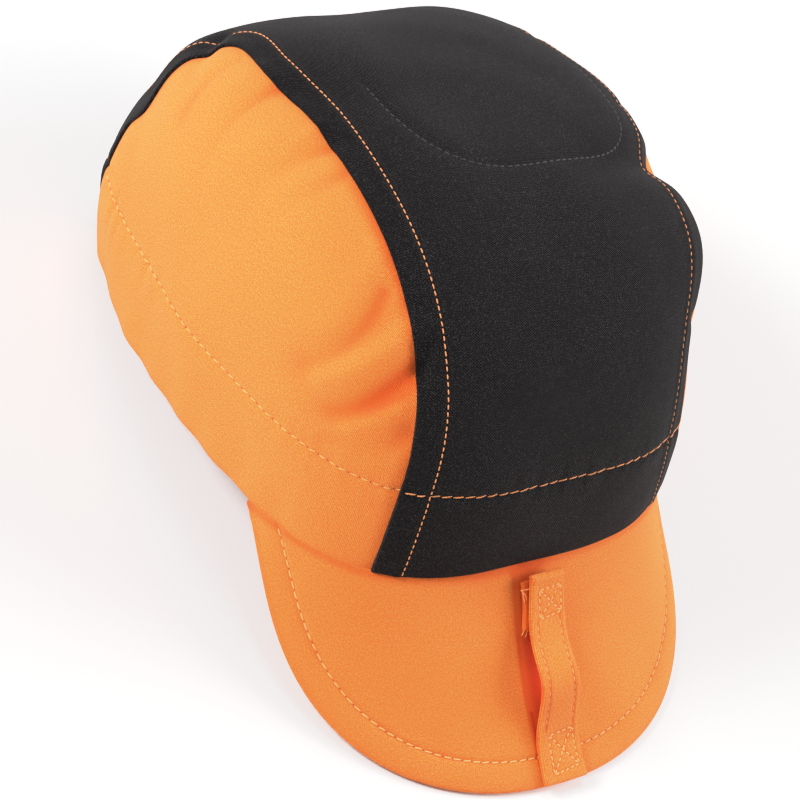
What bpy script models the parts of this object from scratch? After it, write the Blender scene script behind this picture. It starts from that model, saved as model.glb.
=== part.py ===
"""Welding cap: a soft cotton cap of three panels, with a stiff brim and a pencil loop.

The cap is modelled as it is worn, with its rim plane level, its front towards -Y and its crown
up. An empty then tilts it nose up, as far as it takes to stand on the back of its rim and the
front edge of its brim. Metres, +Z up, origin on the floor under the middle of the cap.
"""
import math
from collections import namedtuple

import bmesh
import bpy
import numpy as np

# Crown, from the point that all its panels are measured from
CROWN_FRONT = 0.0951        # to the front
CROWN_BACK = 0.0956         # to the back
CROWN_SIDE = 0.0839         # to either side
CROWN_ABOVE = 0.0778        # to the top
CROWN_BELOW = 0.2333        # to where its sides would meet below, so the rim is nearly upright
RIM_DROP = 0.0295           # down to the rim
CROWN_LEAN = 0.125          # how far the crown leans back for each metre of height
PROFILE_POWER = 2.36        # fullness of the profile seen from the side, 2 for an ellipse
ACROSS_POWER = 3.03         # fullness seen from the front and the top

# Centre strip
STRIP_HALF_FRONT = 0.0581   # half its width at either rim
STRIP_HALF_SHOULDER = 0.0552
STRIP_HALF_TOP = 0.0539

# Cloth
CLOTH = 0.0012              # one panel with its seam allowances
HEM_PLY = 0.0012            # what the turned-up hem adds
HEM_HEIGHT = 0.0323         # from the rim up to the band stitch
HEM_STEP = 0.004            # height over which the hem thins out
UPRIGHT_HEIGHT = 0.012      # height over which the rim comes upright

# Brim
BRIM_LENGTH = 0.0725        # root to edge on the centre line
BRIM_THICK = 0.0022
BRIM_REACH = math.radians(76.0)          # turn along the rim from the front to either end
BRIM_BLUNT = 0.985                       # share of that turn where the blunt ends are cut
BRIM_DROOP_MIDDLE = math.radians(49.0)   # below the rim plane, on the centre line
BRIM_DROOP_SIDE = math.radians(79.5)     # below the rim plane, at the ends
BRIM_CURL = math.radians(20.0)           # how much flatter the edge lies than the root
BRIM_SPLAY = 0.957                       # its lines turn this share of what the rim does
BRIM_YAW = math.radians(2.8)             # how far its wear has turned it to the left
BRIM_OUTLINE_POWER = 2.48                # fullness of its outline, 2 for a parabola
BRIM_END_POWER = 1.22                    # sharpness of its ends, 1 for a parabola

# Pencil loop
LOOP_WIDTH = 0.0137
LOOP_THICK = 0.0024
LOOP_TOP_INSET = 0.0046     # from the brim's root to the loop's folded end
LOOP_EDGE_INSET = 0.0012    # from the brim's edge to the loop's cut end
LOOP_SEWN = 0.0105          # length sewn down at either end
LOOP_FOLD_RISE = 0.0022     # how far the flap under the folded end lifts it
LOOP_STAND_OFF = 0.0070     # clear height under the middle of the loop

# How it stands
CLEARANCE = 0.0003          # gap between touching pieces
RIM_FLAT = 0.0020           # how far its weight flattens the back of the rim
BRIM_FLAT = 0.0005          # how far it flattens the brim's edge, which is stiffer
REST_EASE = 0.018           # height over which the flattening fades out

# Mesh
PANEL_ROWS = 48
STRIP_COLUMNS = 16
SIDE_COLUMNS = 13
BRIM_COLUMNS = 38
BRIM_ROWS = 9
LOOP_ROWS = 26
LOOP_COLUMNS = 4
REST_STEPS = 40             # halvings in the search for the resting tilt

# Across is a share of CROWN_SIDE, angle turns from the front over the top to the back in
# degrees, and reach, width and height are shares of CROWN_SIDE.
Swell = namedtuple("Swell", "name across angle reach height")
SWELLS = (
    Swell("back of the right side", -0.83, 184.0, 0.36, 0.052),
    Swell("hollow at the right back rim", -0.93, 208.0, 0.20, -0.030),
    Swell("right side above the ear", -1.00, -72.0, 0.26, 0.040),
    Swell("flat back of the top", 0.10, 141.0, 0.50, -0.052),
    Swell("right corner of the top", -0.60, 151.0, 0.14, 0.014),
    Swell("hollow behind that corner", -0.84, 155.0, 0.22, -0.026),
    Swell("left edge of the top", 0.74, 86.0, 0.26, 0.034),
    Swell("left brow", 0.78, 42.0, 0.22, 0.050),
    Swell("left temple hollow", 0.80, 18.0, 0.26, -0.046),
)

# A fold runs from its start to its end, with a height at either: below zero it is a valley.
Fold = namedtuple("Fold", "name across angle to_across to_angle width height to_height")
FOLDS = (
    Fold("crease before the top", 0.84, 64.0, 0.30, 62.0, 0.085, -0.064, -0.010),
    Fold("right temple", -0.62, 31.0, -0.90, 17.0, 0.060, -0.030, -0.006),
    Fold("right cheek", -0.68, 15.0, -0.82, 8.0, 0.050, -0.014, -0.004),
    Fold("right brow", -0.65, 39.0, -0.92, 29.0, 0.070, -0.014, -0.010),
    Fold("right top", -0.66, 84.0, -0.86, 87.0, 0.075, -0.016, -0.004),
    Fold("right back of the top", -0.64, 104.0, -0.86, 109.0, 0.075, -0.014, -0.004),
    Fold("kink in the right back seam", -0.58, 140.0, -0.78, 136.0, 0.055, -0.030, -0.006),
)

# The worn strip has shifted to the wearer's left over the brow and the top, and spreads at the
# right of the back. Along is the share of the way from the front rim to the back rim, and more
# the width that the side gains, as a share of CROWN_SIDE.
Shift = namedtuple("Shift", "along more")
LEFT_SHIFT = (
    Shift(0.00, 0.07),
    Shift(0.10, 0.00),
    Shift(0.18, 0.02),
    Shift(0.25, 0.11),
    Shift(0.33, 0.15),
    Shift(0.38, 0.165),
    Shift(0.45, 0.21),
    Shift(0.54, 0.20),
    Shift(0.66, 0.14),
    Shift(0.80, 0.05),
    Shift(1.00, 0.00),
)
RIGHT_SHIFT = (
    Shift(0.00, 0.00),
    Shift(0.50, 0.00),
    Shift(0.61, 0.00),
    Shift(0.69, -0.03),
    Shift(0.735, 0.03),
    Shift(0.77, 0.09),
    Shift(0.80, 0.15),
    Shift(0.845, 0.14),
    Shift(0.88, 0.16),
    Shift(0.92, 0.13),
    Shift(1.00, 0.08),
)

# Half width of the strip from either rim (0) to the middle of the top (1)
Width = namedtuple("Width", "along half")
STRIP_WIDTHS = (
    Width(0.00, STRIP_HALF_FRONT),
    Width(0.50, STRIP_HALF_SHOULDER),
    Width(1.00, STRIP_HALF_TOP),
)

Cloth = namedtuple("Cloth", "colour roughness")
BLACK_TWILL = Cloth((0.017, 0.017, 0.020), 0.90)
ORANGE_TWILL = Cloth((0.93, 0.34, 0.065), 0.85)


def smooth(share):
    """Ease from 0 to 1 as the share does."""
    share = np.clip(share, 0.0, 1.0)
    return share * share * (3.0 - 2.0 * share)


def table_value(table, column, along):
    """A smooth curve through one column of a table whose first column is the way along."""
    places = np.array([row.along for row in table])
    values = np.array([getattr(row, column) for row in table])
    slopes = np.gradient(values, places)
    along = np.clip(along, places[0], places[-1])
    low = np.clip(np.searchsorted(places, along, side="right") - 1, 0, len(table) - 2)
    step = places[low + 1] - places[low]
    share = (along - places[low]) / step
    rise = share * share * (3.0 - 2.0 * share)
    leave = slopes[low] * share * (1.0 - share) ** 2
    arrive = slopes[low + 1] * share * share * (1.0 - share)
    return values[low] * (1.0 - rise) + values[low + 1] * rise + step * (leave - arrive)


def crown_extents(points):
    """How far the crown reaches on the side of its centre where each point lies."""
    fore = np.where(points[..., 1] < 0.0, CROWN_FRONT, CROWN_BACK)
    rise = np.where(points[..., 2] > 0.0, CROWN_ABOVE, CROWN_BELOW)
    return fore, rise


def onto_crown(points):
    """Move points along their rays from the crown's centre onto its smooth surface."""
    fore, rise = crown_extents(points)
    depth = np.abs(points[..., 1] / fore) ** PROFILE_POWER
    height = np.abs(points[..., 2] / rise) ** PROFILE_POWER
    side = np.abs(points[..., 0] / CROWN_SIDE) ** ACROSS_POWER
    size = (side + (depth + height) ** (ACROSS_POWER / PROFILE_POWER)) ** (1.0 / ACROSS_POWER)
    return points / size[..., None]


def crown_point(across, angle):
    """The point at a distance across and an angle from the front over the top, in radians."""
    ray = np.stack([0.0 * angle, -np.cos(angle), np.sin(angle)], axis=-1)
    fore, rise = crown_extents(ray)
    depth = np.abs(ray[..., 1] / fore) ** PROFILE_POWER
    height = np.abs(ray[..., 2] / rise) ** PROFILE_POWER
    narrowing = np.clip(1.0 - np.abs(across / CROWN_SIDE) ** ACROSS_POWER, 0.0, 1.0)
    length = narrowing ** (1.0 / ACROSS_POWER) / (depth + height) ** (1.0 / PROFILE_POWER)
    point = ray * length[..., None]
    point[..., 0] = across
    return point


def rim_half_width():
    """Half the crown's width where its rim is."""
    return CROWN_SIDE * (1.0 - (RIM_DROP / CROWN_BELOW) ** ACROSS_POWER) ** (1.0 / ACROSS_POWER)


def rim_depth(across, reach):
    """How far in front of or behind the centre the rim lies, at a distance across."""
    narrowing = np.clip(1.0 - np.abs(across / CROWN_SIDE) ** ACROSS_POWER, 0.0, 1.0)
    profile = narrowing ** (PROFILE_POWER / ACROSS_POWER) - (RIM_DROP / CROWN_BELOW) ** PROFILE_POWER
    return reach * np.clip(profile, 0.0, None) ** (1.0 / PROFILE_POWER)


def rim_point(turn):
    """The rim at a turn from the front (0) over the wearer's left (90 degrees) to the back."""
    across = rim_half_width() * np.sin(turn)
    reach = np.where(np.cos(turn) > 0.0, CROWN_FRONT, CROWN_BACK)
    depth = -np.sign(np.cos(turn)) * rim_depth(across, reach)
    return np.stack([across, depth, 0.0 * turn - RIM_DROP], axis=-1)


def strip_point(across, along):
    """The strip's surface at a distance across, from the front rim (0) to the back rim (1)."""
    start = np.arctan2(-RIM_DROP, rim_depth(across, CROWN_FRONT))
    end = math.pi - np.arctan2(-RIM_DROP, rim_depth(across, CROWN_BACK))
    return crown_point(across, start + (end - start) * along)


def strip_edge(side, along):
    """How far across the seam lies on one side (-1 or 1), at a share of the way along."""
    inward = 2.0 * np.minimum(along, 1.0 - along)
    half = table_value(STRIP_WIDTHS, "half", inward)
    shift = LEFT_SHIFT if side > 0 else RIGHT_SHIFT
    return side * (half + CROWN_SIDE * table_value(shift, "more", along))


def cloth_normal(points):
    """Outward direction of the smooth crown, level at the rim so that the rim stays flat."""
    fore, rise = crown_extents(points)
    depth = np.abs(points[..., 1] / fore)
    height = np.abs(points[..., 2] / rise)
    side = np.abs(points[..., 0] / CROWN_SIDE)
    profile = depth ** PROFILE_POWER + height ** PROFILE_POWER
    share = profile ** (ACROSS_POWER / PROFILE_POWER - 1.0)
    normal = np.stack([
        side ** (ACROSS_POWER - 1.0) * np.sign(points[..., 0]) / CROWN_SIDE,
        share * depth ** (PROFILE_POWER - 1.0) * np.sign(points[..., 1]) / fore,
        share * height ** (PROFILE_POWER - 1.0) * np.sign(points[..., 2]) / rise,
    ], axis=-1)
    normal[..., 2] *= smooth((points[..., 2] + RIM_DROP) / UPRIGHT_HEIGHT)
    return normal / np.linalg.norm(normal, axis=-1, keepdims=True)


def fold_height(fold, points, legs=8):
    """Height of one fold: a ridge or valley with a bell-shaped section along its line."""
    share = np.linspace(0.0, 1.0, legs + 1)
    across = CROWN_SIDE * (fold.across + (fold.to_across - fold.across) * share)
    angle = np.radians(fold.angle + (fold.to_angle - fold.angle) * share)
    line = crown_point(across, angle)
    nearest = np.full(points.shape[:-1], np.inf)
    reached = np.zeros(points.shape[:-1])
    for leg in range(legs):
        run = line[leg + 1] - line[leg]
        way = np.clip(((points - line[leg]) @ run) / (run @ run), 0.0, 1.0)
        gap = ((points - line[leg] - way[..., None] * run) ** 2).sum(axis=-1)
        reached = np.where(gap < nearest, (leg + way) / legs, reached)
        nearest = np.minimum(gap, nearest)
    height = fold.height + (fold.to_height - fold.height) * reached
    return height * np.exp(-nearest / (fold.width * CROWN_SIDE) ** 2)


def bulge(points):
    """How far the worn cloth stands out from the smooth crown."""
    height = np.zeros(points.shape[:-1])
    for swell in SWELLS:
        centre = crown_point(np.array(CROWN_SIDE * swell.across), np.array(math.radians(swell.angle)))
        gap = ((points - centre) ** 2).sum(axis=-1)
        height += swell.height * np.exp(-gap / (swell.reach * CROWN_SIDE) ** 2)
    for fold in FOLDS:
        height += fold_height(fold, points)
    return CROWN_SIDE * height


def worn(points):
    """Lean the crown back and lift it until its rim is at height 0."""
    out = points.copy()
    out[..., 1] += CROWN_LEAN * points[..., 2]
    out[..., 2] += RIM_DROP
    return out


def cloth_skins(points):
    """Outer and inner skin of the cloth over points of the smooth crown, as worn."""
    normal = cloth_normal(points)
    height = points[..., 2] + RIM_DROP
    thick = CLOTH + HEM_PLY * smooth((HEM_HEIGHT + HEM_STEP - height) / HEM_STEP)
    outer = points + normal * bulge(points)[..., None]
    return worn(outer), worn(outer - normal * thick[..., None])


def strip_skins():
    """The centre strip, from the front rim to the back rim and from its right to its left."""
    along = np.linspace(0.0, 1.0, PANEL_ROWS + 1)[:, None]
    share = np.linspace(0.0, 1.0, STRIP_COLUMNS + 1)[None, :]
    right = strip_edge(-1, along) + CLEARANCE / 2.0
    left = strip_edge(1, along) - CLEARANCE / 2.0
    across = right + (left - right) * share
    return cloth_skins(strip_point(across, along + 0.0 * share))


def side_skins(side):
    """A side panel (-1 or 1), from the front to the back corner and from its rim to its seam."""
    along = np.linspace(0.0, 1.0, PANEL_ROWS + 1)
    edge = strip_edge(side, along) + side * CLEARANCE / 2.0
    seam = strip_point(edge, along)
    first, last = np.arcsin(np.abs(edge[[0, -1]]) / rim_half_width())
    rim = rim_point(side * (first + (math.pi - last - first) * along))
    share = np.linspace(0.0, 1.0, SIDE_COLUMNS + 1)[None, :, None]
    return cloth_skins(onto_crown(rim[:, None] * (1.0 - share) + seam[:, None] * share))


def brim_top(way, out):
    """The brim's top at a way round the rim (-1 to 1) and a way out from root to edge."""
    turn = way * BRIM_REACH
    rim = rim_point(turn)
    step = 1e-4
    ahead = rim_point(turn + step) - rim_point(turn - step)
    heading = BRIM_SPLAY * np.arctan2(ahead[..., 1], ahead[..., 0]) + BRIM_YAW
    outward = np.stack([np.sin(heading), -np.cos(heading), 0.0 * heading], axis=-1)
    root = cloth_skins(rim)[0] - CLEARANCE * outward
    root[..., 2] = -CLEARANCE
    length = BRIM_LENGTH * (1.0 - np.abs(way) ** BRIM_OUTLINE_POWER) ** BRIM_END_POWER
    droop = BRIM_DROOP_MIDDLE + (BRIM_DROOP_SIDE - BRIM_DROOP_MIDDLE) * way ** 2
    middle = droop + BRIM_CURL * (1.0 - out) / 2.0
    chord = length * out * np.sinc(BRIM_CURL * out / 2.0 / math.pi)
    point = root + outward * (chord * np.cos(middle))[..., None]
    point[..., 2] -= chord * np.sin(middle)
    return point


def brim_normal(way, out, step=1e-3):
    """Direction out of the brim's top."""
    round_rim = brim_top(way + step, out) - brim_top(way - step, out)
    away = brim_top(way, out + step) - brim_top(way, out - step)
    normal = np.cross(away, round_rim)
    return normal / np.linalg.norm(normal, axis=-1, keepdims=True)


def brim_grid():
    """Ways round the rim and ways out for the brim, from its right end and from its root."""
    return np.meshgrid(
        np.linspace(-BRIM_BLUNT, BRIM_BLUNT, BRIM_COLUMNS + 1),
        np.linspace(0.0, 1.0, BRIM_ROWS + 1), indexing="ij")


def brim_skins(way, out):
    """The brim's top and underside."""
    top = brim_top(way, out)
    return top, top - brim_normal(way, out) * BRIM_THICK


def loop_grid():
    """Ways round the rim and ways out for the brim's surface under the pencil loop."""
    run = BRIM_LENGTH - LOOP_TOP_INSET - LOOP_EDGE_INSET
    passed = run * np.linspace(0.0, 1.0, LOOP_ROWS + 1)
    out = (LOOP_TOP_INSET + passed) / BRIM_LENGTH
    step = 1e-3
    spread = (brim_top(0.0 * out + step, out) - brim_top(0.0 * out, out))[:, 0] / step
    across = LOOP_WIDTH * np.linspace(-0.5, 0.5, LOOP_COLUMNS + 1)
    return across[None, :] / spread[:, None], out[:, None] + 0.0 * across


def loop_skins(way, out):
    """The pencil loop, from its folded end near the root to its cut end near the edge."""
    run = BRIM_LENGTH - LOOP_TOP_INSET - LOOP_EDGE_INSET
    passed = out[:, :1] * BRIM_LENGTH - LOOP_TOP_INSET
    half = run / 2.0 - LOOP_SEWN
    arch = smooth((passed - LOOP_SEWN) / half) * smooth((run - passed - LOOP_SEWN) / half)
    fold = LOOP_FOLD_RISE * smooth(1.0 - (passed - LOOP_SEWN) / half) * (1.0 - arch)
    under = CLEARANCE + LOOP_STAND_OFF * arch + fold
    below = np.where(passed < LOOP_SEWN, CLEARANCE, under)
    middle = brim_top(0.0 * passed, out[:, :1])
    base = brim_top(way, out)
    flat = middle + 0.0 * base
    flat[..., 0] += LOOP_WIDTH * np.linspace(-0.5, 0.5, LOOP_COLUMNS + 1)
    base += (flat - base) * arch[..., None]
    normal = brim_normal(0.0 * passed, out[:, :1])
    return base + normal * (under + LOOP_THICK)[..., None], base + normal * below[..., None]


def resting_pose(strip, brim):
    """Nose-up tilt and lift that bring the back rim and the brim's edge to the floor."""
    back = strip[1][-1]
    edge = brim[1][:, -1]
    low, high = 0.0, math.pi / 4.0
    for _ in range(REST_STEPS):
        tilt = (low + high) / 2.0
        if heights(edge, tilt).min() + BRIM_FLAT < heights(back, tilt).min() + RIM_FLAT:
            low = tilt
        else:
            high = tilt
    return tilt, -heights(back, tilt).min() - RIM_FLAT


def heights(points, tilt):
    """Heights of worn points once the cap is tilted nose up."""
    return points[..., 2] * math.cos(tilt) - points[..., 1] * math.sin(tilt)


def raised(points, amount, tilt):
    """Points moved straight up, as the tilted cap stands, by an amount each."""
    upward = np.array([0.0, -math.sin(tilt), math.cos(tilt)])
    return points + amount[..., None] * upward


def rest_rim(skins, tilt, lift):
    """Flatten the rim of a panel where it would reach below the floor."""
    rested = []
    for skin in skins:
        below = np.clip(math.sin(tilt) * skin[..., 1] - lift, 0.0, None)
        fade = smooth(1.0 - skin[..., 2] / REST_EASE)
        rested.append(raised(skin, below * fade, tilt))
    return rested


def rest_brim(skins, way, out, tilt, lift):
    """Flatten the brim's edge, and what is sewn on it, where it would reach below the floor."""
    edge = brim_top(way, 1.0 + 0.0 * out)
    lowest = edge - brim_normal(way, 1.0 + 0.0 * out) * BRIM_THICK
    below = np.clip(-heights(lowest, tilt) - lift, 0.0, None)
    span = np.linalg.norm(brim_top(way, out) - edge, axis=-1)
    fade = smooth(1.0 - span / REST_EASE)
    return [raised(skin, below * fade, tilt) for skin in skins]


def floor_centre(every_skin, tilt):
    """Middle of the standing cap's box across and along the floor."""
    points = np.concatenate([skin.reshape(-1, 3) for skins in every_skin for skin in skins])
    along = points[:, 1] * math.cos(tilt) + points[:, 2] * math.sin(tilt)
    across = points[:, 0]
    return (across.min() + across.max()) / 2.0, (along.min() + along.max()) / 2.0


def grid_numbers(shape, start, pinched):
    """Vertex numbers of a grid, with one vertex for the whole of each pinched row."""
    rows, columns = shape
    numbers = np.zeros(shape, dtype=int)
    keep = []
    for row in range(rows):
        single = pinched and row in (0, rows - 1)
        for column in range(columns):
            if not (single and column):
                keep.append((row, column))
            numbers[row, column] = start + len(keep) - 1
    return numbers, keep


def closed_mesh(name, outer, inner, pinched):
    """One closed body between an outer and an inner skin, joined along their edges."""
    top, keep = grid_numbers(outer.shape[:2], 0, pinched)
    under, _ = grid_numbers(outer.shape[:2], len(keep), pinched)
    points = [outer[place] for place in keep] + [inner[place] for place in keep]
    faces = []

    def add(*corners):
        ring = [corner for place, corner in enumerate(corners) if corner != corners[place - 1]]
        if len(ring) > 2:
            faces.append(ring)

    rows, columns = outer.shape[0] - 1, outer.shape[1] - 1
    for row in range(rows):
        for column in range(columns):
            here = (row, column), (row + 1, column), (row + 1, column + 1), (row, column + 1)
            add(*[top[place] for place in here])
            add(*[under[place] for place in reversed(here)])
    around = [(row, 0) for row in range(rows)]
    around += [(rows, column) for column in range(columns)]
    around += [(row, columns) for row in range(rows, 0, -1)]
    around += [(0, column) for column in range(columns, 0, -1)]
    for place, after in zip(around, around[1:] + around[:1]):
        add(top[after], top[place], under[place], under[after])
    mesh = bpy.data.meshes.new(name)
    mesh.from_pydata([tuple(point) for point in points], [], faces)
    shell = bmesh.new()
    shell.from_mesh(mesh)
    bmesh.ops.recalc_face_normals(shell, faces=shell.faces)
    shell.to_mesh(mesh)
    shell.free()
    return mesh


def cloth_material(name, cloth):
    """A plain material in one cloth's colour."""
    material = bpy.data.materials.new(name)
    material.use_nodes = True
    shader = material.node_tree.nodes["Principled BSDF"]
    shader.inputs["Base Color"].default_value = (*cloth.colour, 1.0)
    shader.inputs["Roughness"].default_value = cloth.roughness
    shader.inputs["Metallic"].default_value = 0.0
    return material


def add_piece(name, skins, cloth, cap, pinched=False):
    """Make one named piece from its two skins and stand it with the rest of the cap."""
    mesh = closed_mesh(name, *skins, pinched)
    mesh.materials.append(cloth_material(name, cloth))
    mesh.shade_smooth()
    mesh.set_sharp_from_angle(angle=math.radians(50.0))
    piece = bpy.data.objects.new(name, mesh)
    bpy.context.collection.objects.link(piece)
    piece.parent = cap
    return piece


def main():
    for item in list(bpy.data.objects):
        bpy.data.objects.remove(item, do_unlink=True)

    strip = strip_skins()
    right = side_skins(-1)
    left = side_skins(1)
    brim = brim_skins(*brim_grid())
    loop = loop_skins(*loop_grid())

    tilt, lift = resting_pose(strip, brim)
    strip, right, left = (rest_rim(panel, tilt, lift) for panel in (strip, right, left))
    brim = rest_brim(brim, *brim_grid(), tilt, lift)
    loop = rest_brim(loop, *loop_grid(), tilt, lift)
    across, along = floor_centre((strip, right, left, brim, loop), tilt)

    cap = bpy.data.objects.new("welding_cap", None)
    bpy.context.collection.objects.link(cap)
    cap.location = (-across, -along, lift)
    cap.rotation_euler = (-tilt, 0.0, 0.0)

    add_piece("centre_panel", strip, BLACK_TWILL, cap)
    add_piece("side_panel_right", right, ORANGE_TWILL, cap, pinched=True)
    add_piece("side_panel_left", left, ORANGE_TWILL, cap, pinched=True)
    add_piece("brim", brim, ORANGE_TWILL, cap)
    add_piece("pencil_loop", loop, ORANGE_TWILL, cap)
    bpy.context.view_layer.update()


main()
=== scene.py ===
"""Welding cap, dressed: cotton twill panels with their seams, stitches and folds, a stiff brim
sewn round its edge, and a pencil loop of two plies.

Every surface is worked out as the cap is worn, with its rim plane level, its front towards -Y
and its crown up. Then it is tilted nose up and set down where the cap's solids stand. Metres.
"""
import math
from collections import namedtuple

import bmesh
import bpy
import numpy as np
from mathutils import Matrix, Vector


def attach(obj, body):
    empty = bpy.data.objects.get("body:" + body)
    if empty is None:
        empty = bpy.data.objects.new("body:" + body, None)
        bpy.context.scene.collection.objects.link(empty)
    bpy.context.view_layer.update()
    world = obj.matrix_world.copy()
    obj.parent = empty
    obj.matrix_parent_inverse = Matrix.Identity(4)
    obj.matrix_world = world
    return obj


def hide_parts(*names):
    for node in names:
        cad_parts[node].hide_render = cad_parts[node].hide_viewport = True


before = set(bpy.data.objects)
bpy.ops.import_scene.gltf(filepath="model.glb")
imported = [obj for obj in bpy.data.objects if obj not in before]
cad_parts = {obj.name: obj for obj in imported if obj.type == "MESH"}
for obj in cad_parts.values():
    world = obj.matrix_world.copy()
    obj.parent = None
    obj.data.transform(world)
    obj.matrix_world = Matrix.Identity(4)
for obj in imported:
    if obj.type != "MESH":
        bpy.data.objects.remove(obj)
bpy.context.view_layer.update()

# Crown, from the point that all its panels are measured from
CROWN_FRONT = 0.0951
CROWN_BACK = 0.0956
CROWN_SIDE = 0.0839
CROWN_ABOVE = 0.0778
CROWN_BELOW = 0.2333
RIM_DROP = 0.0295
CROWN_LEAN = 0.125
PROFILE_POWER = 2.36
ACROSS_POWER = 3.03

# Cloth of the crown
CLOTH = 0.0012
HEM_PLY = 0.0012
HEM_HEIGHT = 0.0323
HEM_STEP = 0.004
UPRIGHT_HEIGHT = 0.012

# Brim
BRIM_LENGTH = 0.0725
BRIM_THICK = 0.0022
BRIM_REACH = math.radians(76.0)
BRIM_BLUNT = 0.985
BRIM_DROOP_MIDDLE = math.radians(49.0)
BRIM_DROOP_SIDE = math.radians(79.5)
BRIM_CURL = math.radians(20.0)
BRIM_SPLAY = 0.957
BRIM_YAW = math.radians(2.8)
BRIM_OUTLINE_POWER = 2.48
BRIM_END_POWER = 1.22
BRIM_TUCK = 0.0012          # how far its root reaches up under the hem

# Pencil loop, whose two ends are the folded one at the top and the cut one at the brim's edge
LOOP_THICK = 0.0024
LOOP_TOP_INSET = 0.0046
LOOP_EDGE_INSET = 0.0012
LOOP_SEWN = 0.0105
LOOP_FOLD_RISE = 0.0022
LOOP_STAND_OFF = 0.0070
LOOP_RUN = BRIM_LENGTH - LOOP_TOP_INSET - LOOP_EDGE_INSET
LOOP_HALF_RUN = LOOP_RUN / 2.0 - LOOP_SEWN
LOOP_TOP_WIDTH = 0.0127
LOOP_END_WIDTH = 0.0160
LOOP_TOP_SHIFT = 0.0010     # of its middle line, towards the wearer's left
LOOP_SHIFT = -0.0009        # and at the cut end
LOOP_TOP_REACH = 0.0018     # past the solid's end
LOOP_END_REACH = 0.0010
LOOP_STITCH_INSET = 0.0022
FLAP_LENGTH = 0.0165        # of the strap's end, folded under it
FLAP_SHIFT = 0.0017         # towards the wearer's right
FLAP_THICK = 0.0021
FLAP_HALF = 0.5 * LOOP_TOP_WIDTH - 0.0008
# Sides of the strap and the flap, in mm: how far in from the edge, and how far from mid-ply
LOOP_SIDE = ((0.30, 0.10, 0.0, 0.03, 0.15, 0.36, 0.62), (0.0, 0.10, 0.34, 0.62, 0.88, 1.06, 1.14))
FLAP_SIDE = ((0.18, 0.04, 0.0, 0.05, 0.2, 0.45), (0.0, 0.1, 0.35, 0.62, 0.78, 0.85))
# Corners of the boxes sewn at both ends: along the strap, from its far end if below 0, and across
TOP_BOX = ((0.0036, -0.0036), (0.0030, 0.0050), (0.0122, 0.0050), (0.0132, -0.0036))
END_BOX = ((-0.0150, -0.0040), (-0.0158, 0.0052), (-0.0034, 0.0056), (-0.0022, -0.0044))
# Frayed threads, each on a curve through three corners: along, out past the flap's edge, and up, in mm
FRAYED = (
    ((3.0, -4.25, 3.0), (2.6, 0.0, 3.4), (3.0, 0.9, 1.6)),
    ((3.0, 0.8, 1.6), (4.4, -0.6, 3.0), (6.6, -1.0, 2.2)),
    ((3.4, 0.3, 2.2), (5.2, 0.8, 2.6), (7.2, -0.4, 2.0)),
    ((15.0, -0.4, 1.2), (17.0, 0.2, 1.4), (18.2, 1.0, 0.8)),
    ((15.8, -1.2, 1.2), (17.8, -1.2, 1.2), (19.0, -0.4, 0.6)),
    ((16.0, -2.2, 1.0), (17.6, -2.6, 1.0), (18.6, -2.2, 0.6)),
)
FRAYED_RADIUS = 0.00013

# How the cap stands
CLEARANCE = 0.0003
REST_EASE = 0.018
STAND_TILT = math.radians(14.127)
STAND_PLACE = (0.001603, 0.024881, 0.019765)

# Seams and what the stitches do to the cloth
TOPSTITCH_INSET = 0.0086    # from the seam to the stitch beside it
WELT_RISE = 0.00072         # how far the seam allowances raise the strip's edges
SEAM_LAP = 0.0012           # how far the side panels reach under the strip
SEAM_DIP = 0.00040
STITCH_DIP = 0.00042        # how deep a stitch line pulls the cloth in
BRIM_STITCH_INSET = 0.0097  # from the brim's edge
BRIM_STITCH_DIP = 0.00048
BRIM_PUFF = 0.00035
HEM_PUFF = 0.00030
EDGE_ROWS = 0.0135          # width of the fine rows of a mesh along its edge
# The pad sewn on the top: its middle and half its size, as a share across and in degrees onward
PAD_CENTRE = (0.14, 96.0)
PAD_HALF = (0.52, 31.4)

# Each stitch covers a share of its pitch, slants by radians, is sunk by a share of its radius,
# and has its middle at the phase of its pitch
Stitch = namedtuple("Stitch", "pitch cover radius slant sink seed phase", defaults=(0.0, 0.25, 1, 0.5))
RIGHT_SEAM_STITCH = Stitch(0.0023, 0.76, 0.00017, 0.04, seed=2)
LEFT_SEAM_STITCH = Stitch(0.0023, 0.68, 0.00013, 0.04, 0.55, seed=4)
STRIP_BAND_STITCH = Stitch(0.0039, 1.00, 0.00021, 0.12, seed=11)
SIDE_BAND_STITCH = Stitch(0.0037, 0.66, 0.00017, 0.08, seed=17)
# Short marks of painted shade at the needle holes of the side band stitch
SIDE_BAND_HOLE_SHADE = Stitch(0.0037, 0.17, 0.00019, 0.0, 0.7, 17, 0.02)
BRIM_STITCH = Stitch(0.0034, 0.84, 0.00021, 0.06, seed=23)
# Short marks of painted shade at the needle holes of the brim stitch
BRIM_HOLE_SHADE = Stitch(0.0034, 0.14, 0.00019, 0.0, 0.8, 23, 0.0)
LOOP_BOX_STITCH = Stitch(0.0021, 0.78, 0.00021, 0.08, 0.1, seed=41)
LOOP_EDGE_STITCH = Stitch(0.0027, 0.78, 0.00013, 0.08, 0.1, seed=41)
PAD_STITCH = Stitch(0.0027, 0.74, 0.00019, 0.10, seed=29)

# Camera, as the worn cap sees it
CAMERA_AZIMUTH = math.radians(-47.181)
CAMERA_ELEVATION = math.radians(36.055)
CAMERA_ROLL = math.radians(22.332)
CAMERA_TARGET = (0.0, 0.0, 0.057)
CAMERA_DISTANCE = 1.045
CAMERA_LENS = 145.58
CAMERA_SENSOR = 36.0
CAMERA_SHIFT = (-0.03539, -0.21915)

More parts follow.
